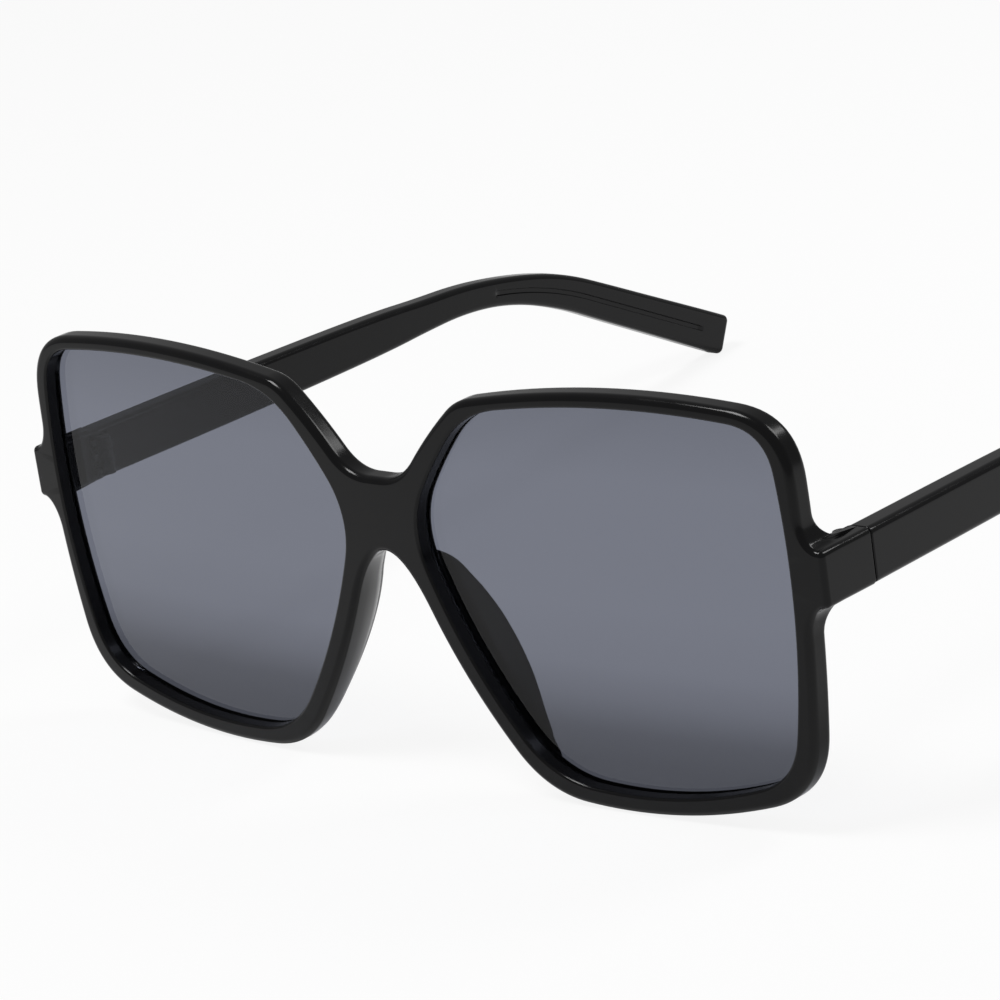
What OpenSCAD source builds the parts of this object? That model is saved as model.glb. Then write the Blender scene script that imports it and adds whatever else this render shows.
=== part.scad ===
// Oversized sunglasses, open and standing on a table.
// Millimetres. +Z is up, the lenses face -Y, the wearer's left is +X.
// The origin is on the table, under the middle of the whole object.

/* [Lens opening] */
// Inner top corner, out from the middle of the bridge
eye_top_in_x = 18.5; // [17.6:0.1:19.2]
// Inner top corner, above the inner bottom corner
eye_top_in_z = 51.3; // [49:0.1:53]
// Outer top corner, out from the middle of the bridge
eye_top_out_x = 67.6; // [66.6:0.1:68.4]
// Outer top corner, above the inner bottom corner
eye_top_out_z = 52.3; // [50:0.1:54]
// Outer bottom corner, out from the middle of the bridge
eye_low_out_x = 65.2; // [64:0.1:66]
// Outer bottom corner, above the inner bottom corner
eye_low_out_z = 4.4; // [3.4:0.1:5.2]
// Inner bottom corner, out from the middle of the bridge
eye_low_in_x = 24.7; // [23.5:0.1:25.5]
// Nose corner, out from the middle of the bridge
eye_nose_x = 5.9; // [5.6:0.1:6.4]
// Nose corner, above the inner bottom corner
eye_nose_z = 34.3; // [33:0.1:35]
// How far the top edge arches above its chord
eye_bulge_top = 2.0; // [1.5:0.1:2.6]
// How far the outer edge bows beyond its chord
eye_bulge_side = 2.6; // [2:0.1:2.8]
// How far the bottom edge sags below its chord
eye_bulge_low = 2.9; // [2.3:0.1:3.2]
// How far the nose edge bows beyond its chord
eye_bulge_nose = 2.2; // [1.8:0.1:2.4]
// How far the brow edge bows beyond its chord
eye_bulge_brow = 0.8; // [0.5:0.1:1.1]
// Length rounded off each side of the two top corners
eye_round_top = 5.7; // [5:0.1:7]
// Length rounded off each side of the outer bottom corner
eye_round_low_out = 6.0; // [5.2:0.1:6.8]
// Length rounded off each side of the inner bottom corner
eye_round_low_in = 7.1; // [6.6:0.1:8.4]
// Length rounded off each side of the nose corner
eye_round_nose = 6.7; // [6.3:0.1:7.5]

/* [Rims and bridge] */
// Rim outside the inner top corner, upwards
rim_top_in_w = 1.6; // [1.5:0.1:2.2]
// Rim outside the outer top corner, upwards
rim_top_out_w = 1.6; // [1.4:0.1:2]
// Rim beside the outer edge, sideways
rim_side_w = 3.1; // [2.9:0.1:3.6]
// Rim under the outer bottom corner, downwards
rim_low_out_w = 2.0; // [1.8:0.1:2.4]
// Rim under the inner bottom corner, downwards
rim_low_in_w = 2.6; // [2.4:0.1:3.1]
// Rim beside the two inner corners, towards the nose
rim_in_w = 1.7; // [1.6:0.1:2]
// Rounding of the outer top corner, along each side
rim_round_top = 8.6; // [7.6:0.1:9.6]
// Rounding of the inner top corner, along each side
rim_round_brow = 2.4; // [2:0.1:3]
// Rounding of the outer bottom corner, along each side
rim_round_low_out = 7.8; // [7:0.1:8.6]
// Rounding of the inner bottom corner, along each side
rim_round_low_in = 6.9; // [6:0.1:7.6]
// How far the top edge arches above its chord
rim_bulge_top = 2.4; // [1.9:0.1:2.7]
// How far the outer edge bows beyond its chord
rim_bulge_side = 1.7; // [1.3:0.1:1.9]
// How far the bottom edge sags below its chord
rim_bulge_low = 3.2; // [2.6:0.1:3.4]
// How far the brow slope bows beyond its chord
rim_bulge_brow = 0.5; // [0.3:0.1:0.7]
// Top of the bridge, above the inner bottom corner of the opening
bridge_top_z = 40.7; // [40:0.1:41]
// Half the flat width of the bridge's top before it turns up
bridge_half_w = 5.1; // [4.8:0.1:5.6]
// Rounding where the bridge turns up into the brow
bridge_round = 3.8; // [3.4:0.1:4.2]
// Where the two nose edges would meet, above the same corner
arch_meet_z = 45.4; // [44.8:0.1:45.8]
// Rounding of the nose arch, along each edge
arch_round = 24.4; // [23.6:0.1:25]
// How far each nose edge bows into the nose gap
arch_bulge = 3.8; // [3.4:0.1:4]
// Thickness of the front, face to back
front_t = 3.8; // [3.6:0.1:4.4]
// Radius of the shallow ball that the face follows
face_r = 680; // [600:10:900]
// Rounding of the rim's outer edges
rim_edge_r = 1.0; // [0.8:0.05:1.05]
// Rounding of the rim's edges next to the lens
eye_edge_r = 0.45; // [0.3:0.05:0.5]
// Backwards lean of the standing front
face_lean = 3.0; // [2:0.1:4]

/* [Nose pads] */
// Reach of the moulded pads behind the front
pad_reach = 5.6; // [5:0.1:7]
// Outward flare of the pads' back edge
pad_flare = 2.3; // [1.5:0.1:3]
// Thickness of the pads at their back edge
pad_t = 1.9; // [1.9:0.05:2.2]
// Rounding of the pads' edges on the lens side
pad_edge_r = 0.8; // [0.7:0.05:0.85]

/* [End pieces] */
// Outer face of the end pieces and arms, beyond the opening's outer top corner
end_out_w = 7.0; // [6.4:0.1:7.4]
// Height of an end piece beside its seam
end_h = 7.8; // [7.4:0.1:8.2]
// Thickness of an end piece, sideways
end_t = 4.1; // [3.8:0.1:4.4]
// Where an end piece's seam is, behind the front's datum
seam_y = 16.1; // [15:0.1:17]
// Rise of the fillet above an end piece, at the rim
end_flare_up = 4.0; // [3.4:0.1:4.6]
// Drop of the fillet below an end piece, at the rim
end_flare_down = 5.1; // [4.4:0.1:5.5]
// Reach of the fillet above an end piece, behind the rim
end_reach_up = 3.3; // [2.8:0.1:4]
// Reach of the fillet below an end piece, behind the rim
end_reach_down = 2.6; // [2:0.1:3]
// Rounding of the end piece's long edges
end_edge_r = 0.85; // [0.85:0.05:1]
// Rounding of its outer corner, seen from above
end_turn_r = 0.75; // [0.6:0.05:0.8]
// Rounding of its inner corner, seen from above
end_hollow_r = 0.9; // [0.6:0.05:1]

/* [Arms] */
// Height of an arm at its seam
arm_h = 7.7; // [7:0.1:8.2]
// Thickness of an arm at its seam
arm_t = 4.1; // [3.8:0.1:4.4]
// Straight run of an arm from the seam to the ear bend
arm_run = 76; // [72:0.5:80]
// Radius of the ear bend, along the arm's middle
arm_bend_r = 76; // [65:1:85]
// Turn of the ear bend
arm_bend = 26.6; // [24:0.1:29]
// Downwards slope of the straight run
arm_slope = 3.7; // [3.2:0.1:4.2]
// Inwards turn of each open arm
arm_splay = 0.6; // [0.2:0.1:1.2]
// Rounding of the arm's long edges
arm_edge_r = 1.0; // [0.8:0.05:1.1]
// Depth of the narrow groove along the inside of the ear end
groove_depth = 0.35; // [0.2:0.05:0.5]
// Width of that groove
groove_w = 0.9; // [0.7:0.1:1.2]

/* [Hinges] */
// Height of the hinge's middle above the table
hinge_z = 36.0; // [35.6:0.1:36.4]
// Radius of the barrels
barrel_r = 1.15; // [1.1:0.05:1.25]
// Height of the five barrels together
barrel_h = 5.8; // [5.4:0.1:6]
// Space between one barrel and the next
barrel_gap = 0.05; // [0.04:0.01:0.08]
// Distance from the hinge axis to the arm's inner face
axis_inset = 0.9; // [0.85:0.05:1]
// Thickness of the hinge leaves
leaf_t = 0.8; // [0.7:0.05:0.9]
// Plastic between a leaf and the inner face
leaf_cover = 0.5; // [0.4:0.05:0.6]
// Length of the leaf on the end piece
front_leaf_len = 4.4; // [4.2:0.1:4.6]
// Length of the leaf on the arm
arm_leaf_len = 9.0; // [8:0.1:11]
// Radius of the screw's shank
screw_r = 0.6; // [0.55:0.01:0.65]
// Radius of the screw's head
screw_head_r = 0.85; // [0.8:0.01:0.9]
// Height of the screw's head
screw_head_h = 0.4; // [0.35:0.01:0.45]
// Width of the slot across the head
screw_slot_w = 0.25; // [0.2:0.01:0.3]

/* [Fits] */
// Thickness of a lens
lens_t = 1.2; // [1:0.05:1.3]
// Distance from the front's face back to the lens
lens_set_back = 2.0; // [1.9:0.05:2.1]
// Depth of the groove that holds the lens
lens_groove = 0.6; // [0.5:0.05:0.7]
// Space around a lens in its groove
lens_gap = 0.03; // [0.02:0.01:0.05]
// Open seam between an end piece and its arm
seam_gap = 0.12; // [0.1:0.01:0.2]
// Broken edge around the seam
seam_break = 0.25; // [0.2:0.05:0.3]
// Running space between the screw and the arm's barrels
screw_play = 0.03; // [0.02:0.01:0.05]
// Space between the screw and the front's barrels
screw_hold = 0.02; // [0.01:0.01:0.03]
// Space between a leaf and the plastic it is sunk into
leaf_gap = 0.02; // [0.01:0.01:0.03]
// Space around the barrels in the plastic
barrel_clear = 0.12; // [0.1:0.01:0.2]

/* [Hidden] */

$fn = 96;
// Overrun of every cut past the surface that it opens
cut_over = 0.5;
barrels = 5;

// Steps along the sides and corners of a rim. Both outlines use the same ones.
top_steps = 6;
side_high_steps = 2;
side_low_steps = 4;
low_steps = 6;
nose_steps = 5;
arch_steps = 6;
turn_steps = 5;
brow_steps = 4;
corner_steps = 5;
bridge_steps = 7;

// How far the pads reach back, from their bottom end to their top end
pad_share = [[0, 0], [0.12, 0.22], [0.25, 0.4], [0.45, 0.88], [0.62, 0.97], [0.78, 0.74],
    [0.9, 0.56], [1, 0.27]];
// Height of an arm along its length
arm_h_share = [[0, 1], [0.18, 0.985], [0.31, 0.93], [0.39, 0.87], [0.44, 0.8], [0.48, 0.71],
    [0.52, 0.645], [0.56, 0.61], [0.6, 0.6], [0.64, 0.635], [0.7, 0.73], [0.77, 0.79],
    [0.86, 0.83], [0.95, 0.87], [1, 0.88]];
// Thickness of an arm along its length
arm_t_share = [[0, 1], [0.5, 0.92], [0.75, 0.86], [1, 0.9]];
// Where the rows on a rim's outer side lie, from its face to its back
side_share = [1 / 3, 2 / 3];
// Where the rows behind a rim lie on its flat back, from the outer edge to the inner one
back_share = [0.15, 0.3, 0.45, 0.6, 0.8];
// Where the groove inside the ear end stops, along the arm
groove_end_share = 0.955;

// ---- Outline of the lens opening and of the rim

function unit(v) = v / norm(v);
// A bowed side from p to q: its centre, radius, first angle and sweep
function bow(p, q, bulge) =
    let (chord = q - p, len = norm(chord), out = [-chord[1], chord[0]] / len,
         r = (len * len / 4 + bulge * bulge) / (2 * bulge),
         centre = (p + q) / 2 + out * (bulge - r))
    [centre, r, atan2(p[1] - centre[1], p[0] - centre[0]), 2 * asin(len / 2 / r)];
function bow_len(b) = b[1] * b[3] * PI / 180;
// A station is a point with its heading: [x, z, heading x, heading z]
function on_bow(b, t) =
    let (a = b[2] - b[3] * t)
    [b[0][0] + b[1] * cos(a), b[0][1] + b[1] * sin(a), sin(a), -cos(a)];
function spot(s) = [s[0], s[1]];
function heading(s) = [s[2], s[3]];
// Where the lines through two stations meet
function meet(s, e) =
    let (u = heading(s), v = heading(e), gap = spot(e) - spot(s))
    spot(s) + u * ((gap[0] * v[1] - gap[1] * v[0]) / (u[0] * v[1] - u[1] * v[0]));
// A station on the rounding between stations s and e
function on_turn(s, e, t) =
    let (c = meet(s, e), a = spot(s) * (1 - t) + c * t, b = c * (1 - t) + spot(e) * t,
         p = a * (1 - t) + b * t, h = unit(b - a))
    [p[0], p[1], h[0], h[1]];
function run(b, t0, t1, steps) =
    [for (i = [0 : steps - 1]) on_bow(b, t0 + (t1 - t0) * i / steps)];
function turn(s, e, steps) = [for (i = [0 : steps - 1]) on_turn(s, e, i / steps)];
// Where a bowed side passes height z, as a share of its length
function share_at(b, z) = (b[2] - asin((z - b[0][1]) / b[1])) / b[3];
function mix(a, b, f) = a * (1 - f) + b * f;

eye_top_in = [eye_top_in_x, eye_top_in_z];
eye_top_out = [eye_top_out_x, eye_top_out_z];
eye_low_out = [eye_low_out_x, eye_low_out_z];
eye_low_in = [eye_low_in_x, 0];
eye_nose = [eye_nose_x, eye_nose_z];
eye_top = bow(eye_top_in, eye_top_out, eye_bulge_top);
eye_side = bow(eye_top_out, eye_low_out, eye_bulge_side);
eye_low = bow(eye_low_out, eye_low_in, eye_bulge_low);
eye_nose_side = bow(eye_low_in, eye_nose, eye_bulge_nose);
eye_brow = bow(eye_nose, eye_top_in, eye_bulge_brow);

function cut_in(b, len) = len / bow_len(b);
eye_top_t = [cut_in(eye_top, eye_round_top), 1 - cut_in(eye_top, eye_round_top)];
eye_side_t = [cut_in(eye_side, eye_round_top), 1 - cut_in(eye_side, eye_round_low_out)];
eye_low_t = [cut_in(eye_low, eye_round_low_out), 1 - cut_in(eye_low, eye_round_low_in)];
eye_nose_t = [cut_in(eye_nose_side, eye_round_low_in), 1 - cut_in(eye_nose_side, eye_round_nose)];
eye_brow_t = [cut_in(eye_brow, eye_round_nose), 1 - cut_in(eye_brow, eye_round_top)];

rim_top_in = [eye_top_in_x - rim_in_w, eye_top_in_z + rim_top_in_w];
rim_top_out = [eye_top_out_x + rim_side_w, eye_top_out_z + rim_top_out_w];
rim_low_out = [eye_low_out_x + rim_side_w, eye_low_out_z - rim_low_out_w];
rim_low_in = [eye_low_in_x - rim_in_w, -rim_low_in_w];
rim_top = bow(rim_top_in, rim_top_out, rim_bulge_top);
rim_side = bow(rim_top_out, rim_low_out, rim_bulge_side);
rim_low = bow(rim_low_out, rim_low_in, rim_bulge_low);
rim_arch = bow(rim_low_in, [0, arch_meet_z], arch_bulge);
rim_brow = bow([bridge_half_w, bridge_top_z], rim_top_in, rim_bulge_brow);
rim_top_t = [cut_in(rim_top, rim_round_brow), 1 - cut_in(rim_top, rim_round_top)];
rim_side_t = [cut_in(rim_side, rim_round_top), 1 - cut_in(rim_side, rim_round_low_out)];
rim_low_t = [cut_in(rim_low, rim_round_low_out), 1 - cut_in(rim_low, rim_round_low_in)];
rim_arch_t = [cut_in(rim_arch, rim_round_low_in), 1 - cut_in(rim_arch, arch_round)];
rim_brow_t = [cut_in(rim_brow, bridge_round), 1 - cut_in(rim_brow, rim_round_brow)];

arch_start = on_bow(rim_arch, rim_arch_t[1]);
arch_end = [-arch_start[0], arch_start[1], arch_start[2], -arch_start[3]];
arch_top = on_turn(arch_start, arch_end, 1 / 2);
bridge_turn = [bridge_half_w - bridge_round, bridge_top_z, 1, 0];
bridge_low_z = arch_top[1] + rim_edge_r;
bridge_high_z = bridge_top_z - rim_edge_r;
bridge_mid = [for (i = [1 : bridge_steps - 2])
    [0, bridge_low_z + (bridge_high_z - bridge_low_z) * i / (bridge_steps - 1), 0, 0]];

// ---- Cross-section of a rim, one row of points at a time

// Depth of the curved face behind its datum
face_mid_z = eye_top_in_z / 2;
function face_y(x, z) = face_r - sqrt(face_r * face_r - x * x - pow(z - face_mid_z, 2));
function at_depth(p, deep) = [p[0], face_y(p[0], p[1]) + deep, p[1]];
// A rounding row is [inset from the wall, depth from the face]
function round_in(r, a) = r * (1 - sin(a));
function round_deep(r, a) = r * (1 - cos(a));
rim_angles = [0, 30, 60, 90];
eye_angles = [0, 45, 90];
groove_front = lens_set_back - lens_gap;
groove_back = lens_set_back + lens_t + lens_gap;
eye_rows = concat(
    [for (a = eye_angles) [round_in(eye_edge_r, a), front_t - round_deep(eye_edge_r, a)]],
    [[0, groove_back], [lens_groove, groove_back], [lens_groove, groove_front], [0, groove_front]],
    [for (a = eye_angles) [round_in(eye_edge_r, 90 - a), round_deep(eye_edge_r, 90 - a)]]);
// Material lies left of the opening's heading and right of the rim's
function eye_normal(s) = [-s[3], s[2]];
function rim_normal(s) = [s[3], -s[2]];
// Front rounding and back rounding of the outer edge, moved out and back by a pad
function front_rows(s, r) = let (p = spot(s), n = rim_normal(s))
    [for (a = rim_angles) at_depth(p + n * round_in(r, a), round_deep(r, a))];
function rear_rows(s, r, out, deep) = let (p = spot(s), n = rim_normal(s))
    [for (a = rim_angles)
        at_depth(p + n * (round_in(r, 90 - a) + out), deep - round_deep(r, 90 - a))];

// ---- Where the front stands

// Height and depth of a front point once the front leans back
function tilted_z(p) = p[2] * cos(face_lean) - p[1] * sin(face_lean);
function stood_y(p) = p[1] * cos(face_lean) + p[2] * sin(face_lean);
rim_bottom = concat(
    turn(on_bow(rim_side, rim_side_t[1]), on_bow(rim_low, rim_low_t[0]), corner_steps),
    run(rim_low, rim_low_t[0], rim_low_t[1], low_steps),
    turn(on_bow(rim_low, rim_low_t[1]), on_bow(rim_arch, rim_arch_t[0]), corner_steps));
front_lift = -min([for (s = rim_bottom)
    each [for (p = rear_rows(s, rim_edge_r, 0, front_t)) tilted_z(p)]]);
function stood(p) = [p[0], stood_y(p), tilted_z(p) + front_lift];

// ---- End pieces: the rim's outline bulges out, and its back rows run on to the seam

end_out_x = eye_top_out_x + end_out_w;
end_in_x = end_out_x - end_t;
end_half = end_h / 2;
end_seam_y = seam_y - seam_gap / 2;
// Middle height of an end piece at y, in line with the arm
function end_z(y) = hinge_z + (seam_y - y) * tan(arm_slope);
// The same middle as a height on the front, before it leans back
end_deep = face_y(end_out_x, face_mid_z) + front_t / 2;
end_mid = (end_z(end_deep + (hinge_z - front_lift) * sin(face_lean)) - front_lift
    + end_deep * sin(face_lean)) / cos(face_lean);
end_high = end_mid + end_half + end_flare_up;
end_low = end_mid - end_half - end_flare_down;
// The first angles of a fillet belong to the rim alone, the others to the end piece too
fillet_angles = [0, 25, 45, 60];
// An end piece has this many stations above its middle, and as many below
end_half_count = 7;
end_corner_start = 2;
end_wall_start = 3;
function fillet_angle(m) = min(90, 70 + 10 * m);
function corner_angle(m) = min(90, max(0, 30 * (m - end_corner_start)));
// A station on the fillet between the rim's wall and an end piece
function on_fillet(a, wall_x, start, away, flare) =
    [wall_x + (end_out_x - end_edge_r - wall_x) * (1 - cos(a)),
     start + away * flare * (1 - sin(a)), sin(a), away * -cos(a)];
// A station on the rounded corner beyond that fillet and down the outer wall
function on_corner(m, away) =
    let (c = corner_angle(m), drop = (end_half - end_edge_r) * max(0, m - 5) / 2)
    [end_out_x - round_in(end_edge_r, c), end_mid + away * (end_half - round_deep(end_edge_r, c) - drop),
     cos(c), away * -sin(c)];
high_wall_x = on_bow(rim_side, share_at(rim_side, end_high))[0];
low_wall_x = on_bow(rim_side, share_at(rim_side, end_low))[0];
function high_station(a) = on_fillet(a, high_wall_x, end_mid + end_half, 1, end_flare_up);
function flip(s) = [s[0], s[1], -s[2], -s[3]];
function low_station(a) =
    flip(on_fillet(a, low_wall_x, end_mid - end_half, -1, end_flare_down));
function high_end(m) = m < end_corner_start ? high_station(fillet_angle(m)) : on_corner(m, 1);
function low_end(m) = m < end_corner_start ? low_station(fillet_angle(m)) : flip(on_corner(m, -1));
end_stations = concat(
    [for (a = fillet_angles) high_station(a)],
    [for (m = [0 : end_half_count - 1]) high_end(m)],
    [for (m = [0 : end_half_count - 1]) low_end(end_half_count - 1 - m)],
    [for (k = [1 : len(fillet_angles) - 1]) low_station(fillet_angles[len(fillet_angles) - k])]);
end_count = len(end_stations);
end_first = top_steps + corner_steps + side_high_steps;
end_out_first = end_first + len(fillet_angles);
end_out_last = end_out_first + 2 * end_half_count - 1;

rim_loop = concat(
    run(rim_top, rim_top_t[0], rim_top_t[1], top_steps),
    turn(on_bow(rim_top, rim_top_t[1]), on_bow(rim_side, rim_side_t[0]), corner_steps),
    run(rim_side, rim_side_t[0], share_at(rim_side, end_high), side_high_steps),
    end_stations,
    run(rim_side, share_at(rim_side, end_low), rim_side_t[1], side_low_steps),
    rim_bottom,
    run(rim_arch, rim_arch_t[0], rim_arch_t[1], nose_steps),
    [for (i = [0 : arch_steps - 1]) on_turn(arch_start, arch_end, i / arch_steps / 2)],
    [[0, arch_top[1], -1, 0]], bridge_mid, [[0, bridge_top_z, 1, 0]],
    turn(bridge_turn, on_bow(rim_brow, rim_brow_t[0]), turn_steps),
    run(rim_brow, rim_brow_t[0], rim_brow_t[1], brow_steps),
    turn(on_bow(rim_brow, rim_brow_t[1]), on_bow(rim_top, rim_top_t[0]), corner_steps));
eye_loop = concat(
    run(eye_top, eye_top_t[0], eye_top_t[1], top_steps),
    turn(on_bow(eye_top, eye_top_t[1]), on_bow(eye_side, eye_side_t[0]), corner_steps),
    run(eye_side, eye_side_t[0], share_at(eye_side, end_high), side_high_steps),
    run(eye_side, share_at(eye_side, end_high), share_at(eye_side, end_low), end_count),
    run(eye_side, share_at(eye_side, end_low), eye_side_t[1], side_low_steps),
    turn(on_bow(eye_side, eye_side_t[1]), on_bow(eye_low, eye_low_t[0]), corner_steps),
    run(eye_low, eye_low_t[0], eye_low_t[1], low_steps),
    turn(on_bow(eye_low, eye_low_t[1]), on_bow(eye_nose_side, eye_nose_t[0]), corner_steps),
    run(eye_nose_side, eye_nose_t[0], eye_nose_t[1], nose_steps + arch_steps),
    turn(on_bow(eye_nose_side, eye_nose_t[1]), on_bow(eye_brow, eye_brow_t[0]), bridge_steps),
    run(eye_brow, eye_brow_t[0], eye_brow_t[1], turn_steps + brow_steps),
    turn(on_bow(eye_brow, eye_brow_t[1]), on_bow(eye_top, eye_top_t[0]), corner_steps));

// ---- One ring of points at each station

function eye_edge(eye) = spot(eye) + eye_normal(eye) * eye_edge_r;
function inner_rows(eye) =
    [for (row = eye_rows) at_depth(spot(eye) + eye_normal(eye) * row[0], row[1])];
// Rows on the flat back between the outer edge's rounding and the opening's
function flat_rows(from, eye) = [for (f = back_share) at_depth(mix(from, eye_edge(eye), f), front_t)];

// A plain ring, or one that a pad draws back by its reach
function pad_ring(s, eye, reach) =
    let (n = rim_normal(s), out = pad_flare * reach, deep = front_t + pad_reach * reach,
         flat = flat_rows(spot(s) + n * rim_edge_r, eye), tip = spot(s) + n * (out + pad_t),
         r = pad_edge_r, held = min(1, 4 * reach))
    concat(front_rows(s, rim_edge_r),
        [for (f = side_share) at_depth(spot(s) + n * out * f * f, deep * f)],
        rear_rows(s, rim_edge_r, out, deep),
        [for (k = [0 : 2])
            mix(flat[k], at_depth(tip - n * round_in(r, 45 * k), deep - round_deep(r, 45 * k)), held)],
        [flat[3], flat[4]], inner_rows(eye));
// A ring of the bridge's middle plane
function middle_ring(s, eye) = let (rows = 2 * len(rim_angles) + len(side_share) - 1)
    concat([for (j = [0 : rows]) at_depth(spot(s), front_t * j / rows)], flat_rows(spot(s), eye),
        inner_rows(eye));
// A ring where the fillet thickens the rim and starts back along the end piece's inner face.
// Its back rounding fades out with angle a.
function fillet_ring(s, eye, a, reach) =
    let (r = rim_edge_r * pow(cos(a), 2), back = reach * (1 - cos(a)), deep = front_t + back,
         base = spot(s) + rim_normal(s) * r, flat = flat_rows(base, eye),
         inner_x = min(end_in_x + end_edge_r, base[0]),
         inner_r = min(end_edge_r * sin(a), (base[0] - inner_x) / 2),
         held = min(1, back / end_edge_r))
    concat(front_rows(s, mix(rim_edge_r, end_turn_r, sin(a))),
        [for (f = side_share) at_depth(spot(s), deep * f)], rear_rows(s, r, 0, deep),
        [for (k = [0 : 2])
            mix(flat[k], at_depth([inner_x + round_in(inner_r, 45 * k), base[1]],
                deep - round_deep(inner_r, 45 * k)), held)],
        [flat[3], flat[4]], inner_rows(eye));

end_back_y = stood_y(at_depth([end_in_x, end_mid], front_t));
end_wall_y = end_back_y + end_hollow_r;
// A point at height z over the end piece's middle, set forward of the square seam
function end_point(p, forward) =
    let (y = end_seam_y - forward) [p[0], y + p[1] * tan(arm_slope), end_z(y) + p[1]];
function wall_point(p, y) = [p[0], y, end_z(y) + p[1]];
// A ring that runs back to the seam. Station m is counted from the top or bottom.
function end_ring(s, eye, m, away) =
    let (c = corner_angle(m), inner_c = min(90, 30 * m),
         drop = (end_half - end_edge_r) * max(0, m - 5) / 2,
         inner_drop = (end_half - end_edge_r) * max(0, m - end_wall_start) / 4,
         top_share = min(1, (m + 2) / (end_corner_start + 2)),
         first_x = end_in_x + end_edge_r, last_x = end_out_x - end_edge_r,
         p = [mix(first_x, last_x, top_share) + end_edge_r * sin(c),
              away * (end_half - round_deep(end_edge_r, c) - drop)],
         p_in = [-sin(c), away * -cos(c)],
         q = [first_x - end_edge_r * sin(inner_c),
              away * (end_half - round_deep(end_edge_r, inner_c) - inner_drop)],
         q_in = [sin(inner_c), away * -cos(inner_c)],
         b = seam_break * (m == 0 ? 1 / 4 : 1),
         corner = stood(at_depth([q[0], end_mid + q[1]], front_t)),
         foot = stood(at_depth([q[0] - end_hollow_r, end_mid + q[1]], front_t)),
         hollow = wall_point(q, end_wall_y),
         fillet_y = end_back_y + (away > 0 ? end_reach_up : end_reach_down))
    concat([for (v = front_rows(s, end_turn_r)) stood(v)],
        [stood(at_depth(spot(s), front_t)), wall_point(p, fillet_y)],
        [for (a = rim_angles) end_point(p + p_in * round_in(b, 90 - a), round_in(b, a))],
        [end_point(q + q_in * b, 0), end_point(q, b), hollow,
         (hollow + corner * 2 + foot) / 4, foot],
        [for (v = inner_rows(eye)) stood(v)]);

pad_first = len(rim_loop) - corner_steps - brow_steps - turn_steps - bridge_steps - arch_steps
    - nose_steps - corner_steps + 2;
pad_last = pad_first + corner_steps + nose_steps + arch_steps - 5;
function pad_at(i) = i < pad_first || i > pad_last ? 0
    : lookup((i - pad_first) / (pad_last - pad_first), pad_share);
function rim_ring(i) =
    let (s = rim_loop[i], eye = eye_loop[i], k = i - end_first)
    i >= end_out_first && i <= end_out_last
        ? end_ring(s, eye, min(i - end_out_first, end_out_last - i),
            i < end_out_first + end_half_count ? 1 : -1)
    : [for (v = norm(heading(s)) == 0 ? middle_ring(s, eye)
        : k > 0 && k < end_count
            ? k < len(fillet_angles)
                ? fillet_ring(s, eye, fillet_angles[k], end_reach_up)
                : fillet_ring(s, eye, fillet_angles[end_count - k], end_reach_down)
        : pad_ring(s, eye, pad_at(i))) stood(v)];
rim_rings = [for (i = [0 : len(rim_loop) - 1]) rim_ring(i)];
front_y = min([for (r = rim_rings) each [for (p = r) p[1]]]);

// Two triangles between points j and j + 1 of rings i and k
function patch(i, k, j, n) = let (m = (j + 1) % n)
    [[k * n + j, i * n + j, k * n + m], [k * n + m, i * n + j, i * n + m]];
function band(i, k, n) = [for (j = [0 : n - 1]) each patch(i, k, j, n)];
// A closed loop of rings
module loop_skin(rings) {
    count = len(rings);
    n = len(rings[0]);
    polyhedron([for (r = rings) each r],
        [for (i = [0 : count - 1]) each band(i, (i + 1) % count, n)]);
}
// A row of rings with a flat face at each end
module row_skin(rings) {
    count = len(rings);
    n = len(rings[0]);
    polyhedron([for (r = rings) each r], concat(
        [for (i = [0 : count - 2]) each band(i, i + 1, n)],
        [[for (j = [0 : n - 1]) n - 1 - j]],
        [[for (j = [0 : n - 1]) (count - 1) * n + j]]));
}

// ---- Arms, in the hinge's own place: the arm runs along +Y, its axis is +Z

axis_x = end_out_x - arm_t - axis_inset;
arm_start = seam_gap / 2;
bend_len = arm_bend_r * arm_bend * PI / 180;
arm_down = arm_slope + arm_bend;
// Middle of the arm where the ear bend ends, and its height above the table
bend_end = [arm_run + arm_bend_r * sin(arm_bend), -arm_bend_r * (1 - cos(arm_bend))];
bend_end_z = hinge_z + bend_end[1] * cos(arm_slope) - bend_end[0] * cos(arm_splay) * sin(arm_slope);
ear_h = arm_h * arm_h_share[len(arm_h_share) - 1][1];
// Height of the ear end's middle when its lower corner just touches the table
ear_end_z = (ear_h / 2 - arm_edge_r) * cos(arm_down) + arm_edge_r * (1 - sin(arm_down));
ear_run = (bend_end_z - ear_end_z) / sin(arm_down);
arm_len = arm_run + bend_len + ear_run;

function turned(s) = min(max((s - arm_run) / arm_bend_r * 180 / PI, 0), arm_bend);
function arm_mid(s) = let (a = turned(s), past = max(s - arm_run - bend_len, 0))
    [min(s, arm_run) + arm_bend_r * sin(a) + past * cos(a),
     -arm_bend_r * (1 - cos(a)) - past * sin(a)];
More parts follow.
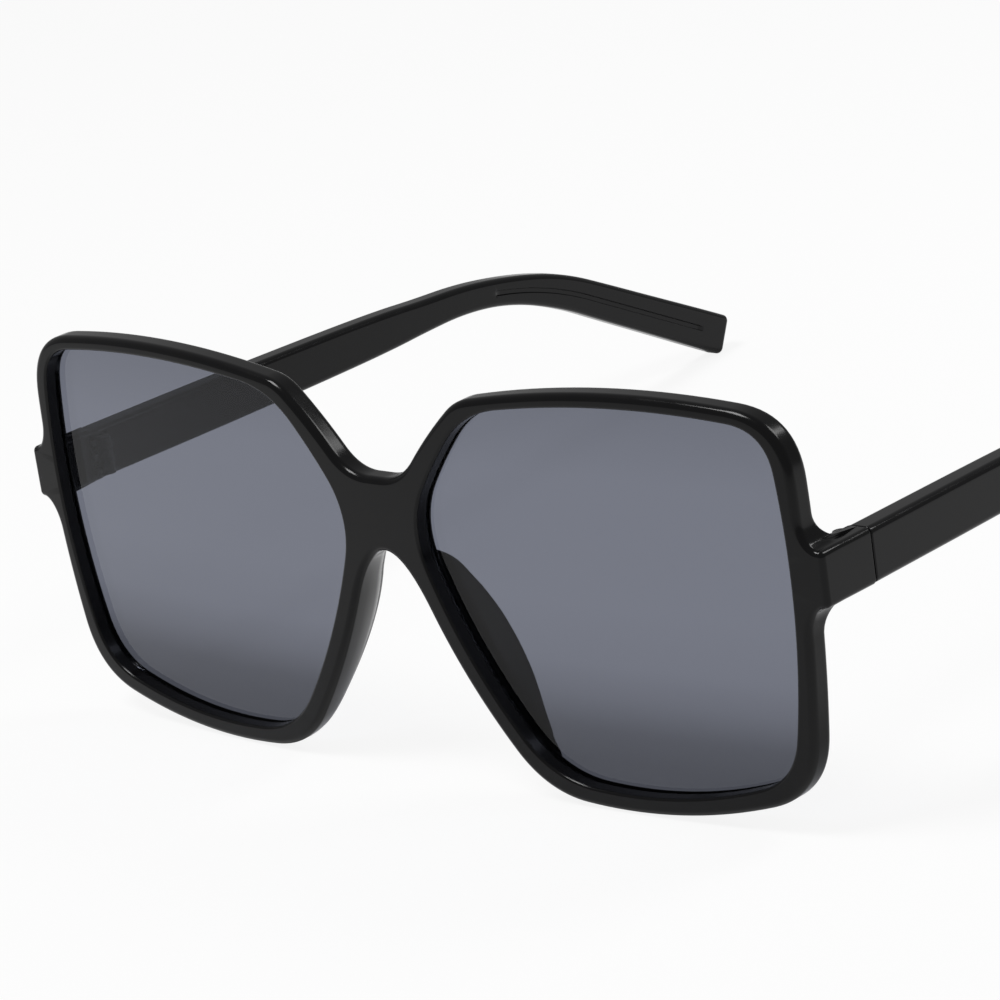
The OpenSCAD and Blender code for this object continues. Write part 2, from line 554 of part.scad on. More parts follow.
// The groove starts a third of the way round the bend and runs out over its own width
groove_from = arm_run + bend_len / 3;
groove_to = arm_len * groove_end_share;
function groove_at(s) = s <= groove_from || s >= groove_to ? 0
    : groove_depth * min(1, (s - groove_from) / groove_w, (groove_to - s) / groove_w);
function arm_ring(s, inset) =
    let (a = turned(s), mid = arm_mid(s), up = [sin(a), cos(a)], f = s / arm_len,
         half = arm_h * lookup(f, arm_h_share) / 2 - inset,
         thick = arm_t * lookup(f, arm_t_share), right = axis_inset + arm_t - inset,
         left = axis_inset + arm_t - thick + inset, r = arm_edge_r - inset / 2,
         edge = [[right, 1, half, 1], [left, -1, half, 1], [left, -1, -half, -1],
                 [right, 1, -half, -1]],
         round = [for (k = [0 : 3]) [for (t = [0, 30, 60, 90])
             let (e = edge[k], b = k % 2 == 0 ? t : 90 - t)
             [e[0] - e[1] * r * (1 - cos(b)), e[2] - e[3] * r * (1 - sin(b))]]],
         deep = left + groove_at(s), wide = groove_w / 2, floor = groove_w / 3,
         groove = [[left, wide], [deep, floor], [deep, -floor], [left, -wide]])
    [for (v = concat(round[0], round[1], groove, round[2], round[3]))
        let (p = mid + up * v[1]) [v[0], p[0], p[1]]];
arm_stations = concat(
    [for (i = [1 : 8]) arm_run * i / 9],
    [for (i = [0 : 4]) arm_run + bend_len * i / 12],
    [groove_from + groove_w],
    [for (i = [5 : 12]) arm_run + bend_len * i / 12],
    [for (i = [1 : 3]) arm_run + bend_len + (ear_run - arm_edge_r) * i / 4],
    [groove_to - groove_w, groove_to]);
arm_rings = concat(
    [arm_ring(arm_start, seam_break), arm_ring(arm_start + seam_break, 0)],
    [for (s = arm_stations) arm_ring(s, 0)],
    [for (t = [0, 30, 60, 90])
        arm_ring(arm_len - arm_edge_r * (1 - sin(t)), arm_edge_r * (1 - cos(t)))]);

// Depth behind the datum of a point in the hinge's place
function hinge_point_y(p) = seam_y + (p[0] * sin(arm_splay) + p[1] * cos(arm_splay))
    * cos(arm_slope) + p[2] * sin(arm_slope);
back_y = max([for (r = arm_rings) each [for (p = r) hinge_point_y(p)]]);
middle_y = (front_y + back_y) / 2;

module standing() {
    translate([0, -middle_y, 0]) children();
}
module in_front() {
    translate([0, 0, front_lift]) rotate([-face_lean, 0, 0]) children();
}
// The hinge's place on the end piece, and the same place turned with the open arm
module at_hinge() {
    translate([axis_x, seam_y, hinge_z]) rotate([-arm_slope, 0, 0]) children();
}
module at_arm() {
    at_hinge() rotate([0, 0, arm_splay]) children();
}
module left_side() {
    standing() children();
}
module right_side() {
    mirror([1, 0, 0]) left_side() children();
}

// ---- Front frame: rims, bridge, nose pads and end pieces, moulded as one

module front_half() {
    loop_skin(rim_rings);
}

barrel_step = barrel_h / barrels;
leaf_x = axis_inset + leaf_cover;
leaf_half_h = barrel_h / 2 - barrel_gap;
tongue_deep = 1.4;
tongue_half_h = 1.3;
tongue_inset = 1.4;
// A leaf's plate and the tongue behind it, grown by a gap, from y0 to y1
module leaf_body(y0, y1, gap) {
    translate([leaf_x - gap, y0 - gap, -leaf_half_h - gap])
        cube([leaf_t + 2 * gap, y1 - y0 + 2 * gap, 2 * (leaf_half_h + gap)]);
    translate([leaf_x, y0 + tongue_inset - gap, -tongue_half_h - gap])
        cube([leaf_t + tongue_deep + gap, y1 - y0 - 2 * (tongue_inset - gap),
            2 * (tongue_half_h + gap)]);
}
pocket_half_h = barrel_h / 2 + barrel_clear;
// What a hinge needs cut out of the plastic on one side of the seam
module leaf_pocket(y0, y1, web_y0, web_y1) {
    leaf_body(y0, y1, leaf_gap);
    translate([0, web_y0, -pocket_half_h])
        cube([leaf_x + leaf_t + leaf_gap, web_y1 - web_y0, 2 * pocket_half_h]);
    cylinder(h = 2 * pocket_half_h, r = barrel_r + barrel_clear, center = true);
}
front_leaf_y0 = -front_leaf_len - barrel_r - barrel_clear;
front_leaf_y1 = -barrel_r - barrel_clear;
arm_leaf_y0 = barrel_r + barrel_clear;
arm_leaf_y1 = arm_leaf_y0 + arm_leaf_len;

module front_pocket() {
    at_hinge() leaf_pocket(front_leaf_y0, front_leaf_y1, front_leaf_y1 - leaf_t, seam_gap);
}
module front_frame() {
    color([0.05, 0.05, 0.055]) standing() difference() {
        union() {
            front_half();
            mirror([1, 0, 0]) front_half();
        }
        front_pocket();
        mirror([1, 0, 0]) front_pocket();
    }
}

// ---- Lenses

lens_edge = [for (s = eye_loop) spot(s) + eye_normal(s) * (lens_groove - lens_gap)];
module face_ball(deep) {
    translate([0, face_r + deep, face_mid_z]) sphere(face_r, $fn = 240);
}
module lens() {
    slab_y = face_y(rim_top_out[0], 0) + front_t;
    color([0.3, 0.31, 0.34, 0.6]) in_front() intersection() {
        translate([0, slab_y, 0]) rotate([90, 0, 0]) linear_extrude(slab_y) polygon(lens_edge);
        difference() {
            face_ball(lens_set_back);
            face_ball(lens_set_back + lens_t);
        }
    }
}
module lens_left() {
    left_side() lens();
}
module lens_right() {
    right_side() lens();
}

// ---- Arms

module temple() {
    color([0.06, 0.06, 0.065]) at_arm() difference() {
        row_skin(arm_rings);
        leaf_pocket(arm_leaf_y0, arm_leaf_y1, -seam_gap, arm_leaf_y0 + leaf_t);
    }
}
module temple_left() {
    left_side() temple();
}
module temple_right() {
    right_side() temple();
}

// ---- Hinges: five barrels on one screw, three on the front and two on the arm

// The barrels numbered in `own`, with the webs that join them to their leaf
module barrel_row(own, web_y0, web_y1, bore_r) {
    for (k = own) {
        low = -barrel_h / 2 + barrel_step * k + barrel_gap / 2;
        high = barrel_step - barrel_gap;
        difference() {
            union() {
                translate([0, 0, low]) cylinder(h = high, r = barrel_r);
                translate([0, web_y0, low])
                    cube([leaf_x + leaf_t, web_y1 - web_y0, high]);
            }
            translate([0, 0, low - cut_over]) cylinder(h = high + 2 * cut_over, r = bore_r);
        }
    }
}
module hinge_front_leaf() {
    color([0.75, 0.75, 0.77]) at_hinge() difference() {
        union() {
            leaf_body(front_leaf_y0, front_leaf_y1, 0);
            barrel_row([0, 2, 4], front_leaf_y1 - leaf_t, 0, screw_r + screw_hold);
        }
        translate([0, 0, barrel_h / 2 - barrel_gap / 2 - screw_head_h])
            cylinder(h = barrel_h, r = screw_head_r + screw_hold);
    }
}
module hinge_temple_leaf() {
    color([0.75, 0.75, 0.77]) at_arm() {
        leaf_body(arm_leaf_y0, arm_leaf_y1, 0);
        barrel_row([1, 3], 0, arm_leaf_y0 + leaf_t, screw_r + screw_play);
    }
}
module hinge_screw() {
    top = barrel_h / 2 - barrel_gap / 2;
    bottom = -top;
    color([0.6, 0.6, 0.62]) at_hinge() difference() {
        union() {
            translate([0, 0, bottom]) cylinder(h = top - bottom, r = screw_r);
            translate([0, 0, top - screw_head_h + screw_hold])
                cylinder(h = screw_head_h - screw_hold, r = screw_head_r);
        }
        translate([-screw_slot_w / 2, -barrel_r, top - screw_head_h / 2])
            cube([screw_slot_w, 2 * barrel_r, screw_head_h]);
    }
}
module hinge_front_leaf_left() {
    left_side() hinge_front_leaf();
}
module hinge_front_leaf_right() {
    right_side() hinge_front_leaf();
}
module hinge_temple_leaf_left() {
    left_side() hinge_temple_leaf();
}
module hinge_temple_leaf_right() {
    right_side() hinge_temple_leaf();
}
module hinge_screw_left() {
    left_side() hinge_screw();
}
module hinge_screw_right() {
    right_side() hinge_screw();
}

front_frame();
lens_left();
lens_right();
temple_left();
temple_right();
hinge_front_leaf_left();
hinge_front_leaf_right();
hinge_temple_leaf_left();
hinge_temple_leaf_right();
hinge_screw_left();
hinge_screw_right();
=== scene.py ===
"""Oversized sunglasses, standing open on a pale table.

The moulded front, the lenses and the arms are drawn afresh with fine, smooth skins
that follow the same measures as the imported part. The hinges keep their own solids.
All lengths are in metres.
"""

from collections import namedtuple
from math import asin, atan2, cos, pi, radians, sin, sqrt, tan

import bmesh
import bpy
from bpy.props import FloatProperty, FloatVectorProperty, PointerProperty
from mathutils import Matrix, Vector


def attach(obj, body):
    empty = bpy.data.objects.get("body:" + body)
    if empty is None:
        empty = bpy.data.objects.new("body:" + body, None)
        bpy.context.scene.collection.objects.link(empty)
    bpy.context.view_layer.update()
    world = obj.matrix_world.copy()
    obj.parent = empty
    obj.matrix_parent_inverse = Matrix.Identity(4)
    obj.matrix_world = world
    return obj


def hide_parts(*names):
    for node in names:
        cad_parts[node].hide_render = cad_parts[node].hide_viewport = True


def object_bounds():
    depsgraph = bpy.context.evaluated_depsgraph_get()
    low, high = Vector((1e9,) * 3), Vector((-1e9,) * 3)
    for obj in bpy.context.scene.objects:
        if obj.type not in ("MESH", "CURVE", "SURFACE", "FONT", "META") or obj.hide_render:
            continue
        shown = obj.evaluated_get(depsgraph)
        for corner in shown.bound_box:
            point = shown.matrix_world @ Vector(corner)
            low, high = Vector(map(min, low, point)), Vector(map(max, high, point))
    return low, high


bl_info = {
    "name": "Oversized Sunglasses",
    "version": (1, 0, 0),
    "blender": (4, 5, 0),
    "location": "3D View > Sidebar > Sunglasses",
    "description": "Builds a pair of oversized sunglasses and the stage they stand on",
    "category": "Add Mesh",
}

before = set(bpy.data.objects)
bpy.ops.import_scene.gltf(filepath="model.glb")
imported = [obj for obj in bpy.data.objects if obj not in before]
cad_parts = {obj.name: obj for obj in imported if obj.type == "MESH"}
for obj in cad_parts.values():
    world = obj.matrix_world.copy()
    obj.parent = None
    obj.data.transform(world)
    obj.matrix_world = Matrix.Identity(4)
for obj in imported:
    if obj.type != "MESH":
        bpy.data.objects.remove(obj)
cad_low, cad_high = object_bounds()

MM = 0.001
SIDES = {"left": 1, "right": -1}
# Every run of the outlines is drawn with this many stations for one of the part's own
FINE = 3
# Sections along an arm, and steps from the middle of a lens to its edge
ARM_STEPS = 110
LENS_RINGS = 8
BARREL_SIDES = 96
# Points closer than this are one point, and edges turning by more than this look sharp
WELD = 1e-7
SHARP = radians(40)
# Half the table's side, and how far it lies under the part, so that the two don't touch
FLOOR_HALF = 6
FLOOR_DROP = 0.00002
SENSOR_MM = 36
# How much plain white the table and the room show to the eye, through a lens and in a
# reflection. The rest is matt paint or room light; the paint holds the shadows.
FLOOR_WHITE = {"Is Camera Ray": 0.88, "Is Transmission Ray": 0.88, "Is Glossy Ray": 0.1}
ROOM_WHITE = {"Is Camera Ray": 1.0, "Is Transmission Ray": 1.0, "Is Glossy Ray": 0.1}


def length(name, description, mm):
    """A length that a user may change, given in millimetres."""
    return FloatProperty(name=name, description=description, default=mm * MM, unit="LENGTH")


def out(name, mm):
    return length(name, "Out from the middle of the bridge", mm)


def up(name, mm):
    return length(name + ", up", "Above the opening's inner bottom corner", mm)


def bow(name, mm):
    return length(name, "Beyond the straight line", mm)


def cut_off(name, mm):
    return length(name, "Length rounded off each side", mm)


def turn_by(name, description, degrees):
    """An angle that a user may change, given in degrees."""
    return FloatProperty(
        name=name, description=description, default=radians(degrees), subtype="ANGLE"
    )


def share(name, description, default):
    """A share between nothing and all."""
    return FloatProperty(
        name=name, description=description, default=default, min=0, max=1, subtype="FACTOR"
    )


def number(name, description, default):
    """A plain number that a user may change."""
    return FloatProperty(name=name, description=description, default=default)


def spot(name, description, default):
    """A place that a user may change, in metres."""
    return FloatVectorProperty(name=name, description=description, default=default, unit="LENGTH")


def colour(name, description, default):
    """A colour that a user may change."""
    return FloatVectorProperty(
        name=name, description=description, default=default, size=3, min=0, max=1,
        subtype="COLOR",
    )


class OpeningSizes(bpy.types.PropertyGroup):
    """The opening of one rim. Heights count from its inner bottom corner."""

    top_in_x: out("Inner top corner", 18.5)
    top_in_z: up("Inner top corner", 51.3)
    top_out_x: out("Outer top corner", 67.6)
    top_out_z: up("Outer top corner", 52.3)
    low_out_x: out("Outer bottom corner", 65.2)
    low_out_z: up("Outer bottom corner", 4.4)
    low_in_x: out("Inner bottom corner", 24.7)
    nose_x: out("Nose corner", 5.9)
    nose_z: up("Nose corner", 34.3)
    bulge_top: bow("Arch of the top", 2.0)
    bulge_side: bow("Bow of the outer side", 2.6)
    bulge_low: bow("Sag of the bottom", 2.9)
    bulge_nose: bow("Bow of the nose side", 2.2)
    bulge_brow: bow("Bow of the brow", 0.8)
    round_top: cut_off("Top corners", 5.7)
    round_low_out: cut_off("Outer bottom corner's round", 6.0)
    round_low_in: cut_off("Inner bottom corner's round", 7.1)
    round_nose: cut_off("Nose corner's round", 6.7)


class RimSizes(bpy.types.PropertyGroup):
    """The rims, the bridge between them and the nose pads moulded behind them."""

    top_in_w: length("Width over the inner top corner", "Upwards", 1.6)
    top_out_w: length("Width over the outer top corner", "Upwards", 1.6)
    side_w: length("Width beside the outer edge", "Sideways", 3.1)
    low_out_w: length("Width under the outer bottom corner", "Downwards", 2.0)
    low_in_w: length("Width under the inner bottom corner", "Downwards", 2.6)
    in_w: length("Width beside the inner corners", "Towards the nose", 1.7)
    round_top: cut_off("Outer top corner", 8.6)
    round_brow: cut_off("Inner top corner", 2.4)
    round_low_out: cut_off("Outer bottom corner", 7.8)
    round_low_in: cut_off("Inner bottom corner", 6.9)
    bulge_top: bow("Arch of the top", 2.4)
    bulge_side: bow("Bow of the outer side", 1.7)
    bulge_low: bow("Sag of the bottom", 3.2)
    bulge_brow: bow("Bow of the brow", 0.5)
    bridge_z: length("Top of the bridge", "Above the opening's inner bottom corner", 40.7)
    bridge_half_w: length("Half the bridge's top", "Before it turns up", 5.1)
    bridge_round: cut_off("Turn from bridge to brow", 3.8)
    arch_z: length("Meeting point of the nose edges", "Above the same corner", 45.4)
    arch_round: length("Round of the nose arch", "Along each edge", 24.4)
    arch_bulge: length("Bow of the nose edges", "Into the nose gap", 3.8)
    thick: length("Thickness", "Face to back", 3.8)
    face_r: length("Radius of the face", "The shallow ball that the face follows", 680)
    edge_r: length("Rounding of the outer edges", "Radius", 1.0)
    eye_edge_r: length("Rounding next to the lens", "Radius", 0.45)
    lean: turn_by("Lean", "How far the standing front leans back", 3.0)
    pad_reach: length("Reach of the nose pads", "Behind the front", 5.6)
    pad_flare: length("Flare of the nose pads", "Outwards, at their back edge", 2.3)
    pad_t: length("Thickness of the nose pads", "At their back edge", 1.9)
    pad_edge_r: length("Rounding of the nose pads", "On the lens side", 0.8)
    lens_t: length("Thickness of a lens", "Front to back", 1.2)
    lens_back: length("Set-back of a lens", "Behind the face", 2.0)
    lens_groove: length("Depth of the lens groove", "Into the rim", 0.6)
    lens_gap: length("Space around a lens", "In its groove", 0.03)


class ArmSizes(bpy.types.PropertyGroup):
    """The end pieces of the front and the arms behind them."""

    out_w: length("Outer face", "Beyond the opening's outer top corner", 7.0)
    end_h: length("Height of an end piece", "Beside its seam", 7.8)
    end_t: length("Thickness of an end piece", "Sideways", 4.1)
    seam_y: length("Seam", "Behind the front's datum", 16.1)
    flare_up: length("Fillet above an end piece", "Rise at the rim", 4.0)
    flare_down: length("Fillet below an end piece", "Drop at the rim", 5.1)
    reach_up: length("Fillet above, backwards", "Reach behind the rim", 3.3)
    reach_down: length("Fillet below, backwards", "Reach behind the rim", 2.6)
    end_edge_r: length("Long edges of an end piece", "Radius", 0.85)
    end_turn_r: length("Front corner of an end piece", "Radius seen from above", 0.75)
    end_hollow_r: length("Inner corner of an end piece", "Radius seen from above", 0.9)
    height: length("Height of an arm", "At its seam", 7.7)
    thick: length("Thickness of an arm", "At its seam", 4.1)
    run: length("Straight run", "From the seam to the ear bend", 76)
    bend_r: length("Radius of the ear bend", "Along the arm's middle", 76)
    bend: turn_by("Ear bend", "Turn of the bend", 26.6)
    slope: turn_by("Slope", "Downwards, of the straight run", 3.7)
    splay: turn_by("Splay", "Inwards turn of an open arm", 0.6)
    edge_r: length("Long edges of an arm", "Radius", 1.0)
    groove_deep: length("Depth of the ear groove", "Into the inner face", 0.35)
    groove_w: length("Width of the ear groove", "Across", 0.9)
    hinge_z: length("Height of the hinge", "Above the table", 36.0)
    axis_in: length("Hinge axis", "From the arm's inner face", 0.9)
    seam_gap: length("Open seam", "Between an end piece and its arm", 0.12)
    seam_break: length("Broken edge", "Around the seam", 0.25)


class HingeSizes(bpy.types.PropertyGroup):
    """The hinges: two leaves with five barrels between them, and a screw."""

    barrel_r: length("Radius of the barrels", "Round the axis", 1.15)
    barrels_h: length("Height of the five barrels", "Together", 5.8)
    between: length("Space between barrels", "One barrel to the next", 0.05)
    leaf_t: length("Thickness of the leaves", "Sideways", 0.8)
    leaf_cover: length("Cover of the leaves", "Plastic between a leaf and the inner face", 0.5)
    leaf_len_front: length("Leaf on the end piece", "Along it", 4.4)
    leaf_len_arm: length("Leaf on the arm", "Along it", 9.0)
    tongue_deep: length("Depth of the tongue", "Behind the leaf, in the plastic", 1.4)
    tongue_half: length("Half the height of the tongue", "In the plastic", 1.3)
    tongue_inset: length("Inset of the tongue", "From both ends of its leaf", 1.4)
    gap: length("Space around a leaf", "In the plastic", 0.02)
    clear: length("Space around the barrels", "In the plastic", 0.12)


class Finish(bpy.types.PropertyGroup):
    """Colours and gloss."""

    plastic: colour("Frame", "Colour of the black plastic", (0.0032, 0.0032, 0.0036))
    plastic_rough: share("Frame roughness", "Roughness of the polished plastic", 0.13)
    tint: colour("Lens tint", "Colour that light takes through a lens", (0.169, 0.18, 0.222))
    metal: colour("Hinge", "Colour of the black nickel on the hinges", (0.05, 0.049, 0.048))
    screw: colour("Screw", "Colour of the screws", (0.16, 0.156, 0.15))
    floor: colour("Floor", "Colour of the pale table and backdrop", (0.94, 0.94, 0.94))


class StageSizes(bpy.types.PropertyGroup):
    """Camera and lamps."""

    azimuth: turn_by("Camera azimuth", "Round the table from straight ahead", 45.1327)
    elevation: turn_by("Camera elevation", "Above the table", 19.7574)
    roll: turn_by("Camera roll", "Turn about its own axis", -11.1648)
    lens: number("Lens", "Focal length in millimetres", 166.01)
    camera_place: spot("Camera", "Where it stands", (0.433268, -0.484892, 0.251512))
    top_place: spot("Top softbox", "Where it hangs", (-0.2, -0.3, 0.9))
    top_size: length("Top softbox size", "Side", 300)
    top_power: number("Top softbox power", "Watts", 4.8)
    side_place: spot("Side softbox", "Where it stands", (0.3, 0.3, 0.45))
    side_size: length("Side softbox size", "Side", 200)
    side_power: number("Side softbox power", "Watts", 1.0)
    room_light: number("Room light", "Brightness of the walls", 0.25)


# Height of an arm along its length, and its thickness
ARM_HEIGHT_SHARE = (
    (0, 1), (0.18, 0.985), (0.31, 0.93), (0.39, 0.87), (0.44, 0.8), (0.48, 0.71), (0.52, 0.645),
    (0.56, 0.61), (0.6, 0.6), (0.64, 0.635), (0.7, 0.73), (0.77, 0.79), (0.86, 0.83),
    (0.95, 0.87), (1, 0.88),
)
ARM_THICK_SHARE = ((0, 1), (0.5, 0.92), (0.75, 0.86), (1, 0.9))
# The ear groove: its start along the ear bend, its end along the arm, its bed across
GROOVE_START_SHARE = 1 / 3
GROOVE_END_SHARE = 0.955
GROOVE_BED_SHARE = 1 / 3
PLASTIC_IOR, PLASTIC_GLOSS, LENS_IOR = 1.5, 0.21, 1.3
METAL_ROUGH, SCREW_ROUGH = 0.24, 0.3
# How much light a lens takes through at heights from the table to LENS_TOP, beside its tint. The
# drop towards the bottom is painted shade for the frame's shadow on the table seen through the
# lens; near the top the lens is a little darker too.
LENS_TOP = 0.06
LENS_PAINTED_SHADE = ((0.1, 0.4), (0.18, 0.48), (0.26, 0.75), (0.34, 0.93), (0.48, 1.0), (0.78, 1.0),
              (0.97, 0.85))
# How far the pads reach back, from their bottom end to their top end
PAD_SHARE = (
    (0, 0), (0.12, 0.22), (0.25, 0.4), (0.45, 0.88), (0.62, 0.97), (0.78, 0.74), (0.9, 0.56),
    (1, 0.27),
)
# Where the rows on a rim's outer side lie, from its face to its back
SIDE_SHARE = (0.3, 0.4, 0.5, 0.6, 0.7)
# Where the rows behind a rim lie on its flat back, from the outer edge to the inner one.
# The first ones take part in the rounding of a nose pad or an end piece.
PAD_ROWS = 7
BACK_SHARE = [0.15 + 0.3 * k / (PAD_ROWS - 1) for k in range(PAD_ROWS)] + [
    0.52, 0.6, 0.7, 0.8, 0.9,
]
TOP, SIDE_HIGH, SIDE_LOW, LOW, NOSE, ARCH, TURN, BROW, CORNER, BRIDGE = (
    FINE * n for n in (6, 2, 4, 6, 5, 6, 5, 4, 5, 7)
)
# Turns of a fillet beside an end piece in degrees, first on the rim and then on the piece
FILLET_ANGLES = (0, 25, 45, 60)
FILLET_LAST, FILLET_STEP = 70, 10
# Stations of half an end piece. Its long edges turn by END_TURN degrees at each station,
# the outer one from OUT_FROM to OUT_TO and the inner one from 0 to IN_TO. The shares are
# those of the flat height that the stations behind the turns go down at each step.
END_HALF = 6
END_TURN, OUT_FROM, OUT_TO, IN_TO = 30, 2, 5, 3
OUT_DROP_SHARE, IN_DROP_SHARE = 1 / 2, 1 / 4
# How far towards its outer edge an end piece's side reaches at its first station
END_REACH_SHARE = 1 / 2
# How much of the broken edge at the seam the first station has
FIRST_BREAK_SHARE = 0.25
# How much the opening's stations on the face draw together beside an end piece
FACE_PULL = 1.5
# Stations by which a nose pad starts late in the bottom corner and ends early in the arch
PAD_LATE, PAD_EARLY = 2 * FINE, 3 * FINE
# A nose pad has its full rounding from this share of its reach on
PAD_FORM_SHARE = 1 / 4
# How many stations of the nose arch face the opening's nose side and not its nose corner
NOSE_LEAD = 2 * FINE
# How many stations of the turn above the bridge face the opening's nose corner
TURN_LEAD = 3 * FINE


def quarter(degrees):
    """A quarter round: how far it is from its start's line and its end's, in radii."""
    return [(1 - cos(radians(a)), 1 - sin(radians(a))) for a in degrees]


EDGE = quarter((0, 11, 22, 34, 45, 56, 68, 79, 90))
EYE_EDGE = quarter((0, 18, 36, 54, 72, 90))
PAD_EDGE = quarter(90 * k / (PAD_ROWS - 1) for k in range(PAD_ROWS))
BREAK = quarter(90 * k / (PAD_ROWS - 2) for k in range(PAD_ROWS - 1))

Station = namedtuple("Station", "point heading")


def flowing(at, table):
    """The table's value at a share, on a smooth curve through its entries."""
    at = min(max(at, table[0][0]), table[-1][0])
    i = next(k for k in range(1, len(table)) if at <= table[k][0])
    (a, low), (b, high) = table[i - 1], table[i]
    before, after = table[max(i - 2, 0)], table[min(i + 1, len(table) - 1)]
    rise_low = (high - before[1]) / (b - before[0])
    rise_high = (after[1] - low) / (after[0] - a)
    t, span = (at - a) / (b - a), b - a
    return (
        low * (2 * t ** 3 - 3 * t ** 2 + 1) + rise_low * span * (t ** 3 - 2 * t ** 2 + t)
        + high * (3 * t ** 2 - 2 * t ** 3) + rise_high * span * (t ** 3 - t ** 2)
    )


class Side:
    """A side bowed outwards between two corners, followed clockwise from the front.

    The rounding of each corner takes a length off it.
    """

    def __init__(self, start, end, bulge, off_start, off_end):
        chord = end - start
        out = Vector((-chord.y, chord.x)).normalized()
        self.radius = (chord.length_squared / 4 + bulge * bulge) / (2 * bulge)
        self.centre = (start + end) / 2 + out * (bulge - self.radius)
        spoke = start - self.centre
        self.angle = atan2(spoke.y, spoke.x)
        self.sweep = 2 * asin(chord.length / 2 / self.radius)
        path = self.radius * self.sweep
        self.t0, self.t1 = off_start / path, 1 - off_end / path
        self.first, self.last = self.at(self.t0), self.at(self.t1)

    def at(self, t):
        a = self.angle - self.sweep * t
        spoke = Vector((cos(a), sin(a)))
        return Station(self.centre + spoke * self.radius, Vector((sin(a), -cos(a))))

    def share_at(self, z):
        return (self.angle - asin((z - self.centre.y) / self.radius)) / self.sweep

    def run(self, steps, t0=None, t1=None):
        t0, t1 = (self.t0 if t0 is None else t0), (self.t1 if t1 is None else t1)
        return [self.at(t0 + (t1 - t0) * i / steps) for i in range(steps)]


def rounding(start, end, t):
    """A station on the rounding between two stations."""
    gap = end.point - start.point
    u, v = start.heading, end.heading
    along = (gap.x * v.y - gap.y * v.x) / (u.x * v.y - u.y * v.x)
    corner = start.point + u * along
    a, b = start.point.lerp(corner, t), corner.lerp(end.point, t)
    return Station(a.lerp(b, t), (b - a).normalized())


def corner_run(start, end, steps):
    return [rounding(start, end, i / steps) for i in range(steps)]


def xz(x, z):
    """A point or a way in the plane of the front."""
    return Vector((x, z))


